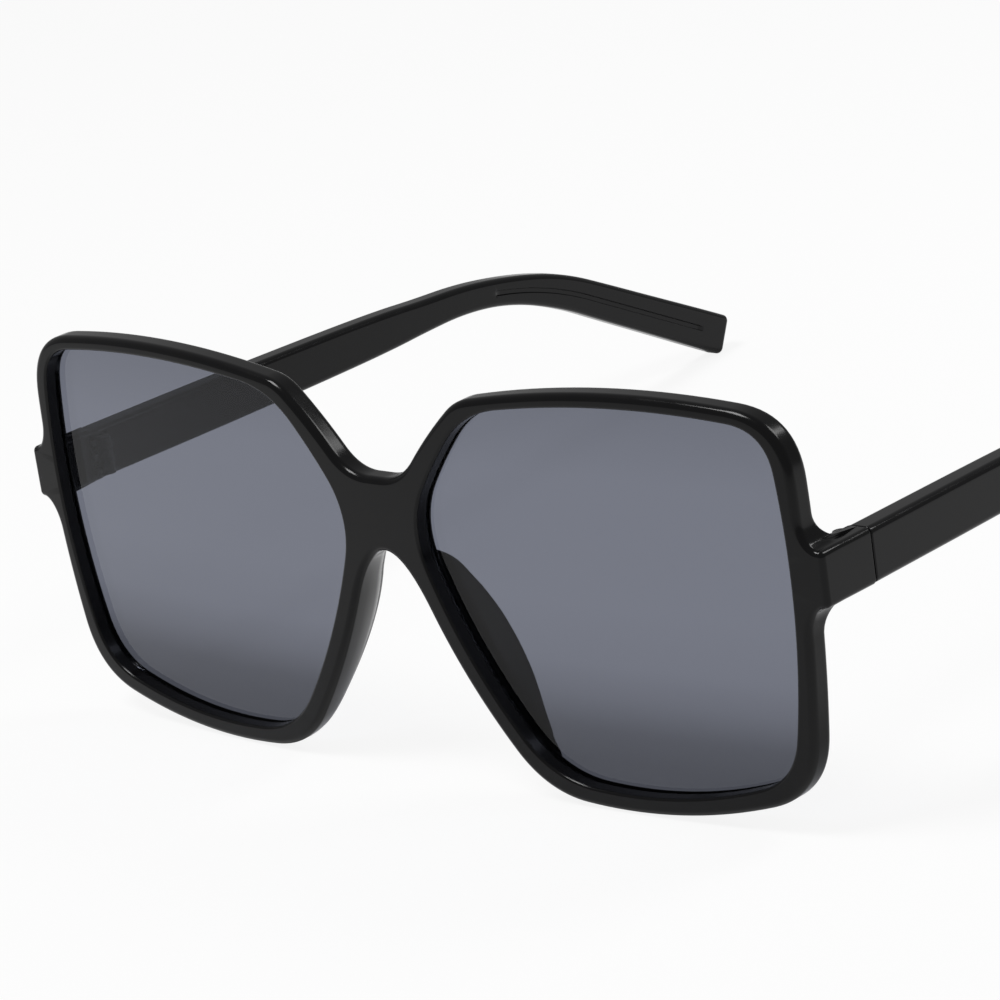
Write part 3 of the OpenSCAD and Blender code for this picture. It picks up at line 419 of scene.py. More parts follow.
class Front:
    """Outlines and cross-sections of one half of the front."""

    def __init__(self, eye, rim, arm):
        self.eye, self.rim, self.arm = eye, rim, arm
        self.ball_z = eye.top_in_z / 2
        self.make_sides()
        self.bottom = (
            corner_run(self.rim_side.last, self.rim_low.first, CORNER)
            + self.rim_low.run(LOW)
            + corner_run(self.rim_low.last, self.arch.first, CORNER)
        )
        self.lift = 0
        self.lift = -min(
            self.stood(p).z
            for s in self.bottom for p in self.rear_rows(s, rim.edge_r, 0, rim.thick)
        )
        self.out_x = eye.top_out_x + arm.out_w
        self.in_x = self.out_x - arm.end_t
        self.end_half = arm.end_h / 2
        self.end_seam_y = arm.seam_y - arm.seam_gap / 2
        lean = rim.lean
        deep = self.face_y(self.out_x, self.ball_z) + rim.thick / 2
        at_front = deep + (arm.hinge_z - self.lift) * sin(lean)
        self.end_mid = (self.end_z(at_front) - self.lift + deep * sin(lean)) / cos(lean)
        self.end_high = self.end_mid + self.end_half + arm.flare_up
        self.end_low = self.end_mid - self.end_half - arm.flare_down
        self.high_wall = self.rim_side.at(self.rim_side.share_at(self.end_high)).point.x
        self.low_wall = self.rim_side.at(self.rim_side.share_at(self.end_low)).point.x
        back = self.at_depth(xz(self.in_x, self.end_mid), rim.thick)
        self.back_y = self.stood(back).y
        self.make_loops()

    def make_sides(self):
        e, r = self.eye, self.rim
        top_in, top_out = xz(e.top_in_x, e.top_in_z), xz(e.top_out_x, e.top_out_z)
        low_out, low_in = xz(e.low_out_x, e.low_out_z), xz(e.low_in_x, 0)
        nose, bridge = xz(e.nose_x, e.nose_z), xz(r.bridge_half_w, r.bridge_z)
        self.eye_top = Side(top_in, top_out, e.bulge_top, e.round_top, e.round_top)
        self.eye_side = Side(top_out, low_out, e.bulge_side, e.round_top, e.round_low_out)
        self.eye_low = Side(low_out, low_in, e.bulge_low, e.round_low_out, e.round_low_in)
        self.eye_nose = Side(low_in, nose, e.bulge_nose, e.round_low_in, e.round_nose)
        self.eye_brow = Side(nose, top_in, e.bulge_brow, e.round_nose, e.round_top)

        top_in += xz(-r.in_w, r.top_in_w)
        top_out += xz(r.side_w, r.top_out_w)
        low_out += xz(r.side_w, -r.low_out_w)
        low_in += xz(-r.in_w, -r.low_in_w)
        self.rim_top = Side(top_in, top_out, r.bulge_top, r.round_brow, r.round_top)
        self.rim_side = Side(top_out, low_out, r.bulge_side, r.round_top, r.round_low_out)
        self.rim_low = Side(low_out, low_in, r.bulge_low, r.round_low_out, r.round_low_in)
        self.arch = Side(low_in, xz(0, r.arch_z), r.arch_bulge, r.round_low_in,
                         r.arch_round)
        self.rim_brow = Side(bridge, top_in, r.bulge_brow, r.bridge_round, r.round_brow)

    # The face is a shallow ball, and the whole front leans back on its bottom edge

    def face_y(self, x, z):
        r = self.rim.face_r
        return r - sqrt(r * r - x * x - (z - self.ball_z) ** 2)

    def at_depth(self, p, deep):
        return Vector((p.x, self.face_y(p.x, p.y) + deep, p.y))

    def stood(self, p):
        c, s = cos(self.rim.lean), sin(self.rim.lean)
        return Vector((p.x, p.y * c + p.z * s, p.z * c - p.y * s + self.lift))

    def end_z(self, y):
        return self.arm.hinge_z + (self.arm.seam_y - y) * tan(self.arm.slope)

    # Stations of the end piece, from the top fillet down to the lower one

    def fillet(self, degrees, away):
        a = radians(degrees)
        if away > 0:
            wall, flare = self.high_wall, self.arm.flare_up
        else:
            wall, flare = self.low_wall, self.arm.flare_down
        x = wall + (self.out_x - self.arm.end_edge_r - wall) * (1 - cos(a))
        z = self.end_mid + away * (self.end_half + flare * (1 - sin(a)))
        return Station(xz(x, z), xz(away * sin(a), -cos(a)))

    def out_edge(self, m):
        """How far the outer long edge has turned, and how far it is below the turn."""
        c = radians(min(90, max(0, END_TURN * (m - OUT_FROM))))
        return c, (self.end_half - self.arm.end_edge_r) * max(0, m - OUT_TO) * OUT_DROP_SHARE

    def end_station(self, m, away):
        if m < OUT_FROM:
            return self.fillet(FILLET_LAST + FILLET_STEP * m, away)
        c, drop = self.out_edge(m)
        r = self.arm.end_edge_r
        x = self.out_x - r * (1 - sin(c))
        z = self.end_mid + away * (self.end_half - r * (1 - cos(c)) - drop)
        return Station(xz(x, z), xz(away * cos(c), -sin(c)))

    def make_loops(self):
        angles = [
            a + (b - a) * k / FINE
            for a, b in zip(FILLET_ANGLES, FILLET_ANGLES[1:]) for k in range(FINE)
        ] + [FILLET_ANGLES[-1]]
        halves = [m / FINE for m in range(END_HALF * FINE + 1)]
        self.ends = (
            [("fillet", a, 1) for a in angles]
            + [("end", m, 1) for m in halves]
            + [("end", m, -1) for m in reversed(halves)]
            + [("fillet", a, -1) for a in reversed(angles[1:])]
        )
        end_stations = [
            self.fillet(v, away) if kind == "fillet" else self.end_station(v, away)
            for kind, v, away in self.ends
        ]
        self.end_first = TOP + CORNER + SIDE_HIGH
        arch_start = self.arch.last
        arch_end = Station(
            xz(-arch_start.point.x, arch_start.point.y),
            xz(arch_start.heading.x, -arch_start.heading.y),
        )
        arch_top = rounding(arch_start, arch_end, 0.5).point.y
        r = self.rim
        low_z, high_z = arch_top + r.edge_r, r.bridge_z - r.edge_r
        middle = [
            Station(xz(0, low_z + (high_z - low_z) * i / (BRIDGE - 1)), xz(0, 0))
            for i in range(1, BRIDGE - 1)
        ]
        bridge_turn = Station(xz(r.bridge_half_w - r.bridge_round, r.bridge_z), xz(1, 0))
        side_high, side_low = (self.rim_side.share_at(z) for z in (self.end_high, self.end_low))
        self.rim_loop = (
            self.rim_top.run(TOP)
            + corner_run(self.rim_top.last, self.rim_side.first, CORNER)
            + self.rim_side.run(SIDE_HIGH, t1=side_high)
            + end_stations
            + self.rim_side.run(SIDE_LOW, t0=side_low)
            + self.bottom
            + self.arch.run(NOSE)
            + [rounding(arch_start, arch_end, i / ARCH / 2) for i in range(ARCH)]
            + [Station(xz(0, arch_top), xz(-1, 0))]
            + middle
            + [Station(xz(0, r.bridge_z), xz(1, 0))]
            + corner_run(bridge_turn, self.rim_brow.first, TURN)
            + self.rim_brow.run(BROW)
            + corner_run(self.rim_brow.last, self.rim_top.first, CORNER)
        )
        high, low = (self.eye_side.share_at(z) for z in (self.end_high, self.end_low))
        self.eye_loop = (
            self.eye_top.run(TOP)
            + corner_run(self.eye_top.last, self.eye_side.first, CORNER)
            + self.eye_side.run(SIDE_HIGH, t1=high)
            + self.eye_side.run(len(self.ends), high, low)
            + self.eye_side.run(SIDE_LOW, t0=low)
            + corner_run(self.eye_side.last, self.eye_low.first, CORNER)
            + self.eye_low.run(LOW)
            + corner_run(self.eye_low.last, self.eye_nose.first, CORNER)
            + self.eye_nose.run(NOSE + NOSE_LEAD)
            + corner_run(self.eye_nose.last, self.eye_brow.first,
                         ARCH + BRIDGE - NOSE_LEAD + TURN_LEAD)
            + self.eye_brow.run(TURN + BROW - TURN_LEAD)
            + corner_run(self.eye_brow.last, self.eye_top.first, CORNER)
        )
        # On the face the opening's stations lie nearer to the middle than the end piece's
        self.eye_face = list(self.eye_loop)
        for i, s in enumerate(end_stations):
            rise = s.point.y - self.end_mid
            reach = (self.end_high if rise > 0 else self.end_low) - self.end_mid
            z = self.end_mid + reach * (rise / reach) ** FACE_PULL
            self.eye_face[self.end_first + i] = self.eye_side.at(self.eye_side.share_at(z))
        self.pad_first = (
            len(self.rim_loop) - CORNER - BROW - TURN - BRIDGE - ARCH - NOSE - CORNER + PAD_LATE
        )
        self.pad_last = self.pad_first - PAD_LATE + CORNER + NOSE + ARCH - PAD_EARLY

    # Rows of one cross-section: round the outer edge, over the back, round the lens groove

    @staticmethod
    def rim_normal(s):
        return Vector((s.heading.y, -s.heading.x))

    @staticmethod
    def eye_normal(s):
        return Vector((-s.heading.y, s.heading.x))

    def front_rows(self, s, r):
        n = self.rim_normal(s)
        return [self.at_depth(s.point + n * r * b, r * a) for a, b in EDGE]

    def rear_rows(self, s, r, out, deep):
        n = self.rim_normal(s)
        return [self.at_depth(s.point + n * (r * a + out), deep - r * b) for a, b in EDGE]

    def eye_rows(self, s):
        n, r, rim = self.eye_normal(s), self.rim.eye_edge_r, self.rim
        front, back = rim.lens_back - rim.lens_gap, rim.lens_back + rim.lens_t + rim.lens_gap
        rows = [(r * b, rim.thick - r * a) for a, b in EYE_EDGE]
        rows += [(0, back), (rim.lens_groove, back), (rim.lens_groove, front), (0, front)]
        rows += [(r * a, r * b) for a, b in EYE_EDGE]
        return [self.at_depth(s.point + n * inset, deep) for inset, deep in rows]

    def flat_rows(self, start, eye):
        end = eye.point + self.eye_normal(eye) * self.rim.eye_edge_r
        return [self.at_depth(start.lerp(end, f), self.rim.thick) for f in BACK_SHARE]

    def plain_ring(self, s, eye, reach):
        rim, n = self.rim, self.rim_normal(s)
        out, deep = rim.pad_flare * reach, rim.thick + rim.pad_reach * reach
        flat = self.flat_rows(s.point + n * rim.edge_r, eye)
        tip, r = s.point + n * (out + rim.pad_t), rim.pad_edge_r
        held = min(1, reach / PAD_FORM_SHARE)
        lens_side = [
            p.lerp(self.at_depth(tip - n * r * b, deep - r * a), held)
            for p, (a, b) in zip(flat, PAD_EDGE)
        ]
        return (
            self.front_rows(s, rim.edge_r)
            + [self.at_depth(s.point + n * out * f * f, deep * f) for f in SIDE_SHARE]
            + self.rear_rows(s, rim.edge_r, out, deep)
            + lens_side
            + flat[PAD_ROWS:]
            + self.eye_rows(eye)
        )

    def middle_ring(self, s, eye):
        rows = 2 * len(EDGE) + len(SIDE_SHARE) - 1
        return (
            [self.at_depth(s.point, self.rim.thick * j / rows) for j in range(rows + 1)]
            + self.flat_rows(s.point, eye)
            + self.eye_rows(eye)
        )

    def fillet_ring(self, s, eye, degrees, reach):
        """A ring where the fillet thickens the rim and starts back along the end piece."""
        a, rim, arm = radians(degrees), self.rim, self.arm
        r = rim.edge_r * cos(a) ** 2
        front_r = rim.edge_r + (arm.end_turn_r - rim.edge_r) * sin(a)
        back = reach * (1 - cos(a))
        deep = rim.thick + back
        base = s.point + self.rim_normal(s) * r
        flat = self.flat_rows(base, eye)
        inner_x = min(self.in_x + arm.end_edge_r, base.x)
        inner_r = min(arm.end_edge_r * sin(a), (base.x - inner_x) / 2)
        held = min(1, back / arm.end_edge_r)
        inner = [
            p.lerp(self.at_depth(xz(inner_x + inner_r * b, base.y), deep - inner_r * a), held)
            for p, (a, b) in zip(flat, PAD_EDGE)
        ]
        return (
            self.front_rows(s, front_r)
            + [self.at_depth(s.point, deep * f) for f in SIDE_SHARE]
            + self.rear_rows(s, r, 0, deep)
            + inner
            + flat[PAD_ROWS:]
            + self.eye_rows(eye)
        )

    def end_point(self, p, forward):
        y = self.end_seam_y - forward
        return Vector((p.x, y + p.y * tan(self.arm.slope), self.end_z(y) + p.y))

    def wall_point(self, p, y):
        return Vector((p.x, y, self.end_z(y) + p.y))

    def end_ring(self, s, eye, m, away):
        arm, rim = self.arm, self.rim
        half, r = self.end_half, arm.end_edge_r
        c, drop = self.out_edge(m)
        inner = radians(min(90, END_TURN * m))
        inner_drop = (half - r) * max(0, m - IN_TO) * IN_DROP_SHARE
        first, last = self.in_x + r, self.out_x - r
        reach = min(1, END_REACH_SHARE + (1 - END_REACH_SHARE) * m / OUT_FROM)
        x = first + (last - first) * reach + r * sin(c)
        p = xz(x, away * (half - r * (1 - cos(c)) - drop))
        p_in = xz(-sin(c), away * -cos(c))
        q = xz(first - r * sin(inner), away * (half - r * (1 - cos(inner)) - inner_drop))
        q_in = xz(sin(inner), away * -cos(inner))
        broken = arm.seam_break * (FIRST_BREAK_SHARE if m == 0 else 1)
        lifted = xz(0, self.end_mid)
        corner = self.stood(self.at_depth(q + lifted, rim.thick))
        foot = self.stood(self.at_depth(q + lifted - xz(arm.end_hollow_r, 0), rim.thick))
        hollow = self.wall_point(q, self.back_y + arm.end_hollow_r)
        side_start = self.stood(self.at_depth(s.point, rim.thick))
        side_end = self.wall_point(p, self.back_y + (arm.reach_up if away > 0 else arm.reach_down))
        side_steps = len(SIDE_SHARE) - 1
        seam = [self.end_point(p + p_in * broken * a, broken * b) for a, b in EDGE]
        inner_break = [self.end_point(q + q_in * broken * b, broken * a) for a, b in BREAK]
        steps = len(BACK_SHARE) - len(BREAK) - 1
        return (
            [self.stood(v) for v in self.front_rows(s, arm.end_turn_r)]
            + [side_start.lerp(side_end, k / side_steps) for k in range(side_steps + 1)]
            + seam
            + inner_break
            + [
                hollow.lerp(corner, k / steps).lerp(corner.lerp(foot, k / steps), k / steps)
                for k in range(steps + 1)
            ]
            + [self.stood(v) for v in self.eye_rows(eye)]
        )

    def rings(self):
        made = []
        for i, (s, eye) in enumerate(zip(self.rim_loop, self.eye_loop)):
            k = i - self.end_first
            kind, value, away = self.ends[k] if 0 <= k < len(self.ends) else ("plain", 0, 0)
            if kind == "end":
                made.append(self.end_ring(s, eye, value, away))
                continue
            if s.heading.length == 0:
                ring = self.middle_ring(s, eye)
            elif kind == "fillet" and value > 0:
                reach = self.arm.reach_up if away > 0 else self.arm.reach_down
                ring = self.fillet_ring(s, eye, value, reach)
            else:
                reach = 0
                if self.pad_first <= i <= self.pad_last:
                    reach = flowing(
                        (i - self.pad_first) / (self.pad_last - self.pad_first), PAD_SHARE
                    )
                ring = self.plain_ring(s, eye, reach)
            made.append([self.stood(p) for p in ring])
        on_face = len(EYE_EDGE) + 1
        for ring, eye in zip(made, self.eye_face):
            ring[-on_face:] = [self.stood(p) for p in self.eye_rows(eye)[-on_face:]]
        return made


class Arm:
    """The left arm in its hinge's own place: it runs along +Y and turns about +Z."""

    def __init__(self, arm):
        self.arm = arm
        self.start = arm.seam_gap / 2
        self.bend_len = arm.bend_r * arm.bend
        down = arm.slope + arm.bend
        end_y = arm.run + arm.bend_r * sin(arm.bend)
        end_z = -arm.bend_r * (1 - cos(arm.bend))
        stands = arm.hinge_z + end_z * cos(arm.slope) - end_y * cos(arm.splay) * sin(arm.slope)
        half = arm.height * ARM_HEIGHT_SHARE[-1][1] / 2
        rests = (half - arm.edge_r) * cos(down) + arm.edge_r * (1 - sin(down))
        self.length = arm.run + self.bend_len + (stands - rests) / sin(down)
        self.groove_from = arm.run + self.bend_len * GROOVE_START_SHARE
        self.groove_to = self.length * GROOVE_END_SHARE

    def middle(self, s):
        """The turn of the arm and the middle of its section, after a length s."""
        arm = self.arm
        a = min(max((s - arm.run) / arm.bend_r, 0), arm.bend)
        past = max(s - arm.run - self.bend_len, 0)
        return a, Vector((
            0,
            min(s, arm.run) + arm.bend_r * sin(a) + past * cos(a),
            -arm.bend_r * (1 - cos(a)) - past * sin(a),
        ))

    def groove_at(self, s):
        near = min(s - self.groove_from, self.groove_to - s) / self.arm.groove_w
        return self.arm.groove_deep * min(1, max(0, near))

    def ring(self, s, inset):
        """The rounded section after a length s, drawn in on all sides by an inset."""
        arm = self.arm
        a, middle = self.middle(s)
        upwards = Vector((0, sin(a), cos(a)))
        half = arm.height * flowing(s / self.length, ARM_HEIGHT_SHARE) / 2 - inset
        thick = arm.thick * flowing(s / self.length, ARM_THICK_SHARE)
        right = arm.axis_in + arm.thick - inset
        left = right - thick + 2 * inset
        r = arm.edge_r - inset / 2
        corners = ((right, 1, half, 1), (left, -1, half, 1), (left, -1, -half, -1),
                   (right, 1, -half, -1))
        rounds = []
        for k, (x, side, z, rise) in enumerate(corners):
            turn = EDGE if k % 2 == 0 else EDGE[::-1]
            rounds.append([(x - side * r * a, z - rise * r * b) for a, b in turn])
        wide, bed = arm.groove_w / 2, arm.groove_w * GROOVE_BED_SHARE
        deep = left + self.groove_at(s)
        groove = [(left, wide), (deep, bed), (deep, -bed), (left, -wide)]
        return [
            Vector((x, 0, 0)) + middle + upwards * z
            for x, z in rounds[0] + rounds[1] + groove + rounds[2] + rounds[3]
        ]

    def rings(self):
        arm = self.arm
        near, far = self.start + arm.seam_break, self.length - arm.edge_r
        places = [near + (far - near) * i / ARM_STEPS for i in range(ARM_STEPS)]
        w = arm.groove_w
        places += [self.groove_from, self.groove_from + w, self.groove_to - w, self.groove_to]
        return (
            [
                self.ring(near - arm.seam_break * (1 - b), arm.seam_break * a)
                for a, b in reversed(EDGE)
            ]
            + [self.ring(s, 0) for s in sorted(places)[1:]]
            + [self.ring(far + arm.edge_r * (1 - b), arm.edge_r * a) for a, b in EDGE]
        )


def hinge_place(front, turned):
    """Where the left hinge lies, and with turned, where its open arm lies."""
    arm = front.arm
    place = Matrix.Translation((front.in_x - arm.axis_in, arm.seam_y + front.shift, arm.hinge_z))
    place @= Matrix.Rotation(-arm.slope, 4, "X")
    return place @ Matrix.Rotation(arm.splay, 4, "Z") if turned else place


def front_of(context):
    """The front's outlines from the sizes in the sidebar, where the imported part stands."""
    scene = context.scene
    front = Front(scene.glasses_opening, scene.glasses_rim, scene.glasses_arm)
    front.rows = front.rings()
    front.shift = cad_low.y - min(p.y for ring in front.rows for p in ring)
    return front


def skin(rings, round_the_ring=True, back_to_start=False):
    """Lays a grid over rings of points and welds the seams where they come together."""
    bm = bmesh.new()
    rows = rings + rings[:1] if back_to_start else rings
    wide = len(rings[0]) if round_the_ring else len(rings[0]) - 1
    grid = bmesh.ops.create_grid(bm, x_segments=wide, y_segments=len(rows) - 1, size=1)["verts"]
    places = [row[j % len(row)] for row in rows for j in range(wide + 1)]
    for vert, place in zip(grid, places, strict=True):
        vert.co = place
    bmesh.ops.remove_doubles(bm, verts=grid, dist=WELD)
    return bm


def close_ends(bm):
    """Fills the open ends of a skin with flat faces."""
    bmesh.ops.holes_fill(bm, edges=[e for e in bm.edges if e.is_boundary], sides=0)


def mirror_across(bm):
    """Gives a left-hand shape its right-hand twin instead."""
    bmesh.ops.scale(bm, vec=(-1, 1, 1), verts=bm.verts)
    bmesh.ops.reverse_faces(bm, faces=bm.faces)


def outward(bm):
    bmesh.ops.recalc_face_normals(bm, faces=bm.faces)
    return bm


def linked(name, data):
    obj = bpy.data.objects.new(name, data)
    bpy.context.scene.collection.objects.link(obj)
    return obj


def as_object(bm, name):
    mesh = bpy.data.meshes.new(name)
    bm.to_mesh(mesh)
    bm.free()
    return linked(name, mesh)


def carved(bm, cutters):
    """The shape with every cutter taken out of it."""
    body = as_object(outward(bm), "Uncut")
    tools = [as_object(outward(tool), "Cutter") for tool in cutters]
    for tool in tools:
        cut = body.modifiers.new("Cut", "BOOLEAN")
        cut.operation, cut.solver, cut.object = "DIFFERENCE", "EXACT", tool
    bpy.context.view_layer.update()
    evaluated = body.evaluated_get(bpy.context.evaluated_depsgraph_get())
    made = bmesh.new()
    made.from_mesh(evaluated.data)
    for obj in [body] + tools:
        bpy.data.objects.remove(obj)
    return made


def block(low, high, place):
    """A box between two corners in a place of its own."""
    bm = bmesh.new()
    low, high = Vector(low), Vector(high)
    bmesh.ops.create_cube(bm, size=1)
    bmesh.ops.scale(bm, vec=high - low, verts=bm.verts)
    bmesh.ops.translate(bm, vec=(low + high) / 2, verts=bm.verts)
    bmesh.ops.transform(bm, matrix=place, verts=bm.verts)
    return bm


def rod(radius, low, high, place):
    """An upright cylinder round the hinge's axis."""
    bm = bmesh.new()
    bmesh.ops.create_cone(bm, cap_ends=True, segments=BARREL_SIDES, radius1=radius,
                          radius2=radius, depth=high - low)
    bmesh.ops.translate(bm, vec=(0, 0, (low + high) / 2), verts=bm.verts)
    bmesh.ops.transform(bm, matrix=place, verts=bm.verts)
    return bm


def hinge_pocket(hinge, axis_in, side, place):
    """What a hinge needs taken out of the plastic before its seam (-1) or behind it (1)."""
    start = hinge.barrel_r + hinge.clear
    span = hinge.leaf_len_arm if side > 0 else hinge.leaf_len_front
    y0, y1 = sorted((side * start, side * (start + span)))
    web0, web1 = sorted((-side * hinge.clear, side * (start + hinge.leaf_t)))
    gap, half = hinge.gap, hinge.barrels_h / 2 - hinge.between
    x, tall = axis_in + hinge.leaf_cover, hinge.barrels_h / 2 + hinge.clear
    tongue, inset = hinge.tongue_half, hinge.tongue_inset
    return [
        block((x - gap, y0 - gap, -half - gap), (x + hinge.leaf_t + gap, y1 + gap, half + gap),
              place),
        block((x, y0 + inset - gap, -tongue - gap),
              (x + hinge.leaf_t + hinge.tongue_deep + gap, y1 - inset + gap, tongue + gap), place),
        block((0, web0, -tall), (x + hinge.leaf_t + gap, web1, tall), place),
        rod(hinge.barrel_r + hinge.clear, -tall, tall, place),
    ]


def show(bm, name, nodes, body, material):
    """Links a finished, smooth piece that stands for CAD nodes and rides on a body."""
    obj = as_object(outward(bm), name)
    obj.data.shade_smooth()
    obj.data.set_sharp_from_angle(angle=SHARP)
    obj.data.materials.append(material)
    even = obj.modifiers.new("Even normals", "WEIGHTED_NORMAL")
    even.keep_sharp = True
    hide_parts(*nodes)
    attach(obj, body)


class Nodes:
    """A material's node tree, with short ways to add nodes and join them."""

    def __init__(self, name="", tree=None):
        if not tree:
            self.material = bpy.data.materials.new(name)
            self.material.use_nodes = True
        self.tree = tree or self.material.node_tree
        self.tree.nodes.clear()
        if not tree:
            self.output = self.add("OutputMaterial")
            self.coords = self.add("TexCoord").outputs["Object"]

    def add(self, kind, inputs=None, **settings):
        node = self.tree.nodes.new("ShaderNode" + kind)
        for key, value in settings.items():
            setattr(node, key, value)
        for key, value in (inputs or {}).items():
            if isinstance(value, bpy.types.NodeSocket):
                self.tree.links.new(value, node.inputs[key])
            else:
                node.inputs[key].default_value = value
        return node

    def join(self, start, end):
        self.tree.links.new(start, end)

    def noise(self, scale, detail, rough=0.5):
        made = self.add("TexNoise", {
            "Vector": self.coords, "Scale": scale, "Detail": detail, "Roughness": rough,
        })
        return made.outputs["Fac"]

    def spread(self, value, low, high, start=0.0, end=1.0):
        """Maps a value between start and end to one between low and high."""
        made = self.add("MapRange", {
            "Value": value, "From Min": start, "From Max": end, "To Min": low, "To Max": high,
        })
        return made.outputs["Result"]

    def bump(self, height, distance, strength, after=None):
        made = self.add("Bump", {"Height": height, "Distance": distance, "Strength": strength})
        if after:
            self.join(after, made.inputs["Normal"])
        return made.outputs["Normal"]

    def blend(self, factor, one, two):
        return self.add("Mix", {0: factor, 6: one, 7: two}, data_type="RGBA").outputs[2]

    def finish(self, shader):
        self.join(shader, self.output.inputs["Surface"])
        return self.material


def rgba(colour_value, factor=1.0):
    return [c * factor for c in colour_value] + [1.0]


def ramp_stops(ramp, count):
    """The stops of a colour ramp, as many as are asked for."""
    stops = ramp.color_ramp.elements
    while len(stops) < count:
        stops.new(1.0)
    return stops


def seen_white(nodes, shares):
    """How much plain white a ray is shown, by the way it came."""
    path = nodes.add("LightPath")
    shown = 0.0
    for ray, amount in shares.items():
        part = nodes.add("Math", {0: path.outputs[ray], 1: amount}, operation="MULTIPLY")
        shown = nodes.add("Math", {0: part.outputs[0], 1: shown}, operation="MAXIMUM").outputs[0]
    return shown


def polished_plastic(finish, name, rough):
    """Black acetate-like moulding: deep gloss, faint ripples from polishing, fine smudges."""
    n = Nodes(name)
    cloud = n.noise(scale=90, detail=4)
    smudge = n.noise(scale=260, detail=6, rough=0.62)
    ripple = n.bump(n.noise(scale=150, detail=1), distance=0.00002, strength=0.25)
    grain = n.noise(scale=2600, detail=3)
    base = n.blend(cloud, rgba(finish.plastic, 0.8), rgba(finish.plastic, 1.25))
    shader = n.add("BsdfPrincipled", {
        "Base Color": base,
        "Roughness": n.spread(smudge, rough * 0.7, rough * 1.6, start=0.3, end=0.75),
        "IOR": PLASTIC_IOR,
        "Specular IOR Level": PLASTIC_GLOSS,
        "Normal": n.bump(grain, distance=0.000004, strength=0.25, after=ripple),
    })
    return n.finish(shader.outputs["BSDF"])


def tinted_lens(finish):
    """Grey tinted lens that lets lamps through, so that its shadow is tinted too. Its colour
    darkens towards the bottom: painted shade for the frame's shadow on the table, seen through the
    lens.
    """
    n = Nodes("Tinted lens")
    smudge = n.noise(scale=70, detail=5, rough=0.6)
    height = n.add("SeparateXYZ", {0: n.coords}).outputs["Z"]
    # This ramp darkens the tint low on the lens: painted shade for the frame's shadow on the table
    # seen through it.
    depth = n.add("ValToRGB", {"Fac": n.spread(height, 0, 1, end=LENS_TOP)})
    for stop, (place, strength) in zip(ramp_stops(depth, len(LENS_PAINTED_SHADE)), LENS_PAINTED_SHADE):
        stop.position, stop.color = place, rgba(finish.tint, strength)
    glass = n.add("BsdfPrincipled", {
        "Base Color": depth.outputs["Color"],
        "Roughness": n.spread(smudge, 0.0, 0.035, start=0.45, end=0.8),
        "IOR": LENS_IOR,
        "Transmission Weight": 1.0,
    })
    through_one_side = [sqrt(c) for c in finish.tint]
    clear = n.add("BsdfTransparent", {"Color": rgba(through_one_side)})
    path = n.add("LightPath")
    mix = n.add("MixShader", {
        0: path.outputs["Is Shadow Ray"], 1: glass.outputs["BSDF"], 2: clear.outputs["BSDF"],
    })
    return n.finish(mix.outputs["Shader"])


def plated_metal(finish, name, tone, rough):
    """Nickel plate over stamped metal, with fine tumbling marks and dulled spots."""
    n = Nodes(name)
    spots = n.noise(scale=900, detail=5, rough=0.6)
    base = n.blend(n.noise(scale=400, detail=3), rgba(tone, 0.85), rgba(tone, 1.08))
    shader = n.add("BsdfPrincipled", {
        "Base Color": base,
        "Metallic": 1.0,
        "Roughness": n.spread(spots, rough * 0.75, rough * 1.7, start=0.3, end=0.75),
        "Normal": n.bump(n.noise(scale=5200, detail=4), distance=0.00001, strength=0.35),
    })
    return n.finish(shader.outputs["BSDF"])


class GLASSES_OT_front(bpy.types.Operator):
    """Moulds the front: both rims, the bridge, the nose pads and the end pieces"""

    bl_idname = "glasses.front"
    bl_label = "Front frame"
    bl_options = {"REGISTER", "UNDO"}

    def execute(self, context):
        scene = context.scene
        front = front_of(context)
        bm = skin(front.rows, back_to_start=True)
        bmesh.ops.translate(bm, vec=(0, front.shift, 0), verts=bm.verts)
        wall = [f for f in bm.faces if all(abs(v.co.x) < WELD for v in f.verts)]
        bmesh.ops.delete(bm, geom=wall, context="FACES")
        half = bm.faces[:] + bm.edges[:] + bm.verts[:]
        bmesh.ops.mirror(bm, geom=half, matrix=Matrix(), merge_dist=WELD, axis="X")
        bmesh.ops.remove_doubles(bm, verts=bm.verts, dist=WELD)
        place = hinge_place(front, False)
        left, right = (
            hinge_pocket(scene.glasses_hinge, scene.glasses_arm.axis_in, -1, place) for _ in SIDES
        )
        for tool in right:
            mirror_across(tool)
        bm = carved(bm, left + right)
        show(bm, "front_moulding", ["front_frame"], "front",
             polished_plastic(scene.glasses_finish, "Front plastic",
                              scene.glasses_finish.plastic_rough))
        return {"FINISHED"}


class GLASSES_OT_lenses(bpy.types.Operator):
    """Grinds the two lenses to their grooves"""

    bl_idname = "glasses.lenses"
    bl_label = "Lenses"
    bl_options = {"REGISTER", "UNDO"}

    def execute(self, context):
        scene = context.scene
        front, rim = front_of(context), scene.glasses_rim
        deep = (rim.lens_back, rim.lens_back + rim.lens_t)
        rim_of_lens = [
            s.point + front.eye_normal(s) * (rim.lens_groove - rim.lens_gap)
            for s in front.eye_loop
        ]
        centre = sum(rim_of_lens, Vector((0, 0))) / len(rim_of_lens)
        shares = [i / LENS_RINGS for i in range(LENS_RINGS + 1)]
        rings = [
            [front.stood(front.at_depth(centre.lerp(p, f), deep[0])) for f in shares]
            + [front.stood(front.at_depth(centre.lerp(p, f), deep[1])) for f in reversed(shares)]
            for p in rim_of_lens
        ]
        material = tinted_lens(scene.glasses_finish)
        for name, side in SIDES.items():
            bm = skin(rings, round_the_ring=False, back_to_start=True)
            bmesh.ops.translate(bm, vec=(0, front.shift, 0), verts=bm.verts)
            if side < 0:
                mirror_across(bm)
            show(bm, "tinted_lens_" + name, ["lens_" + name], "front", material)
        return {"FINISHED"}


